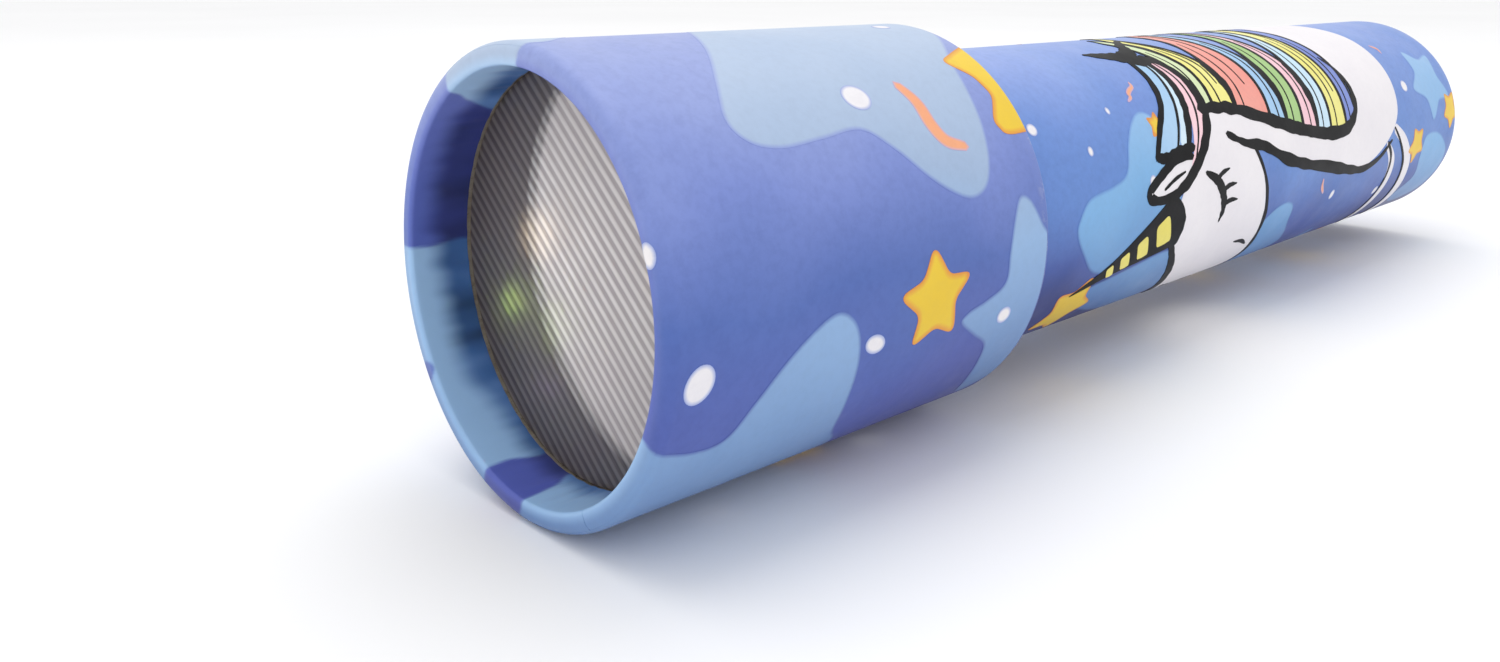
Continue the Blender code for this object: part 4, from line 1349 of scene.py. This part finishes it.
def leaf_shape(w, h, n=40):
    side = []
    for i in range(1, n):
        q = i / n
        tooth = 1.0 + 0.035 * math.sin(q * 46.0)
        side.append((w * math.sin(math.pi * q) ** 0.9 * (1.0 - 0.25 * math.cos(math.pi * q)) * tooth / 1.035,
                     h * (2.0 * q - 1.0)))
    return [(0.0, -h)] + side + [(0.0, h)] + [(-u, v) for u, v in reversed(side)]


def leaf_relief(w, h):
    def fn(p, t):
        u, v = p[:, 0], p[:, 1]
        mid = 0.16 * np.exp(-(u / (0.10 * w)) ** 2)
        q = (v - np.abs(u) * 0.9) / h * 5.0
        side = 0.10 * np.exp(-((q - np.round(q)) / 0.20) ** 2) * np.clip(np.abs(u) / (0.2 * w), 0, 1)
        return mid + side - 0.06
    return fn


def bow_shape(half, sag, w, n=22):
    low = [(half * (2.0 * i / n - 1.0), -sag * (1 - (2.0 * i / n - 1.0) ** 2)) for i in range(n + 1)]
    top = [(u * 0.9, v + w * (1 - 0.5 * abs(u) / half)) for u, v in reversed(low)]
    pts = low + top
    m = np.array(pts).mean(0)
    return [(u - m[0], v - m[1]) for u, v in pts], m


def ring_bead(r, q, n=48, m=16):
    verts, faces = [], []
    for i in range(n):
        a = 2 * math.pi * i / n
        for j in range(m):
            b = 2 * math.pi * j / m
            d = r + q * math.cos(b)
            verts.append((d * math.cos(a), d * math.sin(a), q * math.sin(b)))
    for i in range(n):
        for j in range(m):
            k, l = (i + 1) % n, (j + 1) % m
            faces.append((i * m + j, k * m + j, k * m + l, i * m + l))
    return verts, faces


def cut_bead(r, depth):
    """A table, eight kites, a girdle and a pointed back's worth of flats."""
    rows = [(0.50 * r, -depth / 2, 8, 0.0), (0.84 * r, -depth * 0.30, 8, 0.5), (r, -depth * 0.04, 8, 0.0),
            (r, depth * 0.04, 8, 0.0), (0.84 * r, depth * 0.30, 8, 0.5), (0.50 * r, depth / 2, 8, 0.0)]
    verts, loops = [], []
    for q, w, n, off in rows:
        k = len(verts)
        loops.append(list(range(k, k + n)))
        verts += [(q * math.cos(2 * math.pi * (i + off) / n), q * math.sin(2 * math.pi * (i + off) / n), w)
                  for i in range(n)]
    faces = [tuple(reversed(loops[0])), tuple(loops[-1])]
    for a, b in zip(loops, loops[1:]):
        oa, ob = rows[loops.index(a)][3], rows[loops.index(b)][3]
        for i in range(8):
            j = (i + 1) % 8
            if oa == ob:
                faces.append((a[i], a[j], b[j], b[i]))
            elif oa < ob:
                faces += [(a[i], a[j], b[i]), (a[j], b[j], b[i])]
            else:
                faces += [(a[i], b[j], b[i]), (a[i], a[j], b[j])]
    return verts, faces


GROUPS = (
    ("a", 18.7, 11.3, 1.00, 35.0, (("flower", "red"), ("sliver", "violet"), ("leaf", "green"))),
    ("b", 12.1, 11.3, 1.55, 50.0, (("flower", "pink"), ("leaf", "green"), ("gem", "clear"))),
    ("c", 18.7, 16.9, 1.00, 19.0, (("clover", "olive"), ("gem", "blue"), ("hoop", "yellow"))),
    ("d", 12.1, 16.9, 1.55, 37.0, (("sliver", "violet"), ("hoop", "yellow"), ("flower", "red"))),
)
BEAD_OBJECTS = []
for group, radius, s_at, k, step, kinds in GROUPS:
    for index, j in enumerate((-2, -1, 0, 1, 2), 1):
        kind, hue = kinds[abs(j)]
        spin = (18.0 + 22.0 * abs(j)) * (1 if j > 0 else -1 if j < 0 else 0)
        node = "%s_%s_%s%d" % (kind, hue, group, index)
        place = placed(s_at, radius, j * step, spin)
        sharp = 60
        if kind == "flower":
            verts, faces = pillow(petal(5, 2.15 * k, 0.16), 1.42 * k, 0.42 * k, 9, petal_relief(5, 0.22 * k))
        elif kind == "clover":
            verts, faces = pillow(petal(3, 2.15 * k, 0.22), 1.18 * k, 0.0, 9, petal_relief(3, 0.18 * k))
        elif kind == "leaf":
            verts, faces = pillow(leaf_shape(1.35 * k, 2.15 * k), 0.62, 0.0, 12, leaf_relief(1.35 * k, 2.15 * k))
        elif kind == "sliver":
            shape, mid = bow_shape(2.2 * k, 0.7 * k, 0.9 * k)
            verts, faces = pillow(shape, 0.68, 0.0, 8)
            place = place @ Matrix.Translation((mid[0], mid[1], 0.0))
        elif kind == "hoop":
            verts, faces = ring_bead(1.45 * k, 0.58 * k)
        else:
            verts, faces = cut_bead(1.96 * k, 1.96 * k)
            sharp = 4
        verts = [place @ Vector(v) for v in verts]
        me = mesh_from("bead_" + node, verts, faces)
        bm = bmesh.new()
        bm.from_mesh(me)
        bmesh.ops.recalc_face_normals(bm, faces=bm.faces[:])
        bm.to_mesh(me)
        bm.free()
        me.shade_smooth()
        me.set_sharp_from_angle(angle=math.radians(sharp))
        ob = link_object("bead_" + node, me, [BEADS[hue]])
        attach(ob, "tumble_" + group)
        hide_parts(node)
        BEAD_OBJECTS.append(ob)


# ---- floor and light ---------------------------------------------------------------------------
def floor():
    me = bpy.data.meshes.new("floor")
    h = 6.0
    me.from_pydata([(-h, -h, 0), (h, -h, 0), (h, h, 0), (-h, h, 0)], [], [(0, 1, 2, 3)])
    n = Nodes("floor", Roughness=0.7)
    n.colour(n.ramp(n.noise(3.0, 2.0), [(0.3, lin(246, 246, 247)), (0.7, lin(249, 249, 250))]))
    ob = link_object("floor", me, [n.mat])
    ob.location.z = LO.z - 0.0001


floor()
world = bpy.data.worlds.new("world")
bpy.context.scene.world = world
world.use_nodes = True
bg = world.node_tree.nodes["Background"]
bg.inputs["Color"].default_value = (1.0, 1.0, 1.0, 1.0)
bg.inputs["Strength"].default_value = 1.0


def lamp(name, kind, energy, towards, size=0.5, at=None, colour=(1, 1, 1)):
    d = bpy.data.lights.new(name, kind)
    d.energy = energy
    d.color = colour
    if kind == "SUN":
        d.angle = size
    else:
        d.shape = "RECTANGLE"
        d.size, d.size_y = size if isinstance(size, tuple) else (size, size)
    ob = bpy.data.objects.new(name, d)
    bpy.context.scene.collection.objects.link(ob)
    v = Vector(towards).normalized()
    ob.rotation_euler = v.to_track_quat("Z", "Y").to_euler()
    if at is not None:
        ob.location = at
    return ob


glint = lamp("glint", "SUN", 0.78, (-0.48, 0.845, -0.25), math.radians(1.5))
lamp("overhead", "AREA", 2.2, (0, 0, 1), (0.9, 0.6), at=(0.0, 0.15, 0.8))
leaf_glow = lamp("leaf_glow", "SUN", 50.0, (-0.80, -0.50, 0.33), math.radians(10.0))
glow = lamp("cell_glow", "SUN", 12.5, (-0.80, -0.50, 0.33), math.radians(6.0))
glow.data.color = (1.0, 0.95, 0.78)


def only_on(light, receivers, blockers):
    """Lets a lamp light some pieces only, with only some pieces in its way."""
    on = bpy.data.collections.new(light.name + "_lights")
    off = bpy.data.collections.new(light.name + "_blockers")
    for o in receivers:
        on.objects.link(o)
    for o in blockers:
        off.objects.link(o)
    light.light_linking.receiver_collection = on
    light.light_linking.blocker_collection = off


only_on(glint, [bpy.data.objects["diffuser"]], [bpy.data.objects["head_print"]])
BRIGHT_LEAF = [bpy.data.objects["bead_leaf_green_a" + k] for k in "15"]
BRIGHT_LEAF = [max(BRIGHT_LEAF, key=lambda o: sum(v[1] for v in o.bound_box))]
only_on(leaf_glow, BRIGHT_LEAF, [bpy.data.objects["head_print"]])
FAINT = [bpy.data.objects["bead_leaf_green_b" + k] for k in "24"]
FAINT = [max(FAINT, key=lambda o: sum(v[1] for v in o.bound_box))]
only_on(glow, FAINT + [o for o in BEAD_OBJECTS if any(k in o.name for k in ("_clear_", "_violet_a"))],
        [bpy.data.objects["head_print"]])
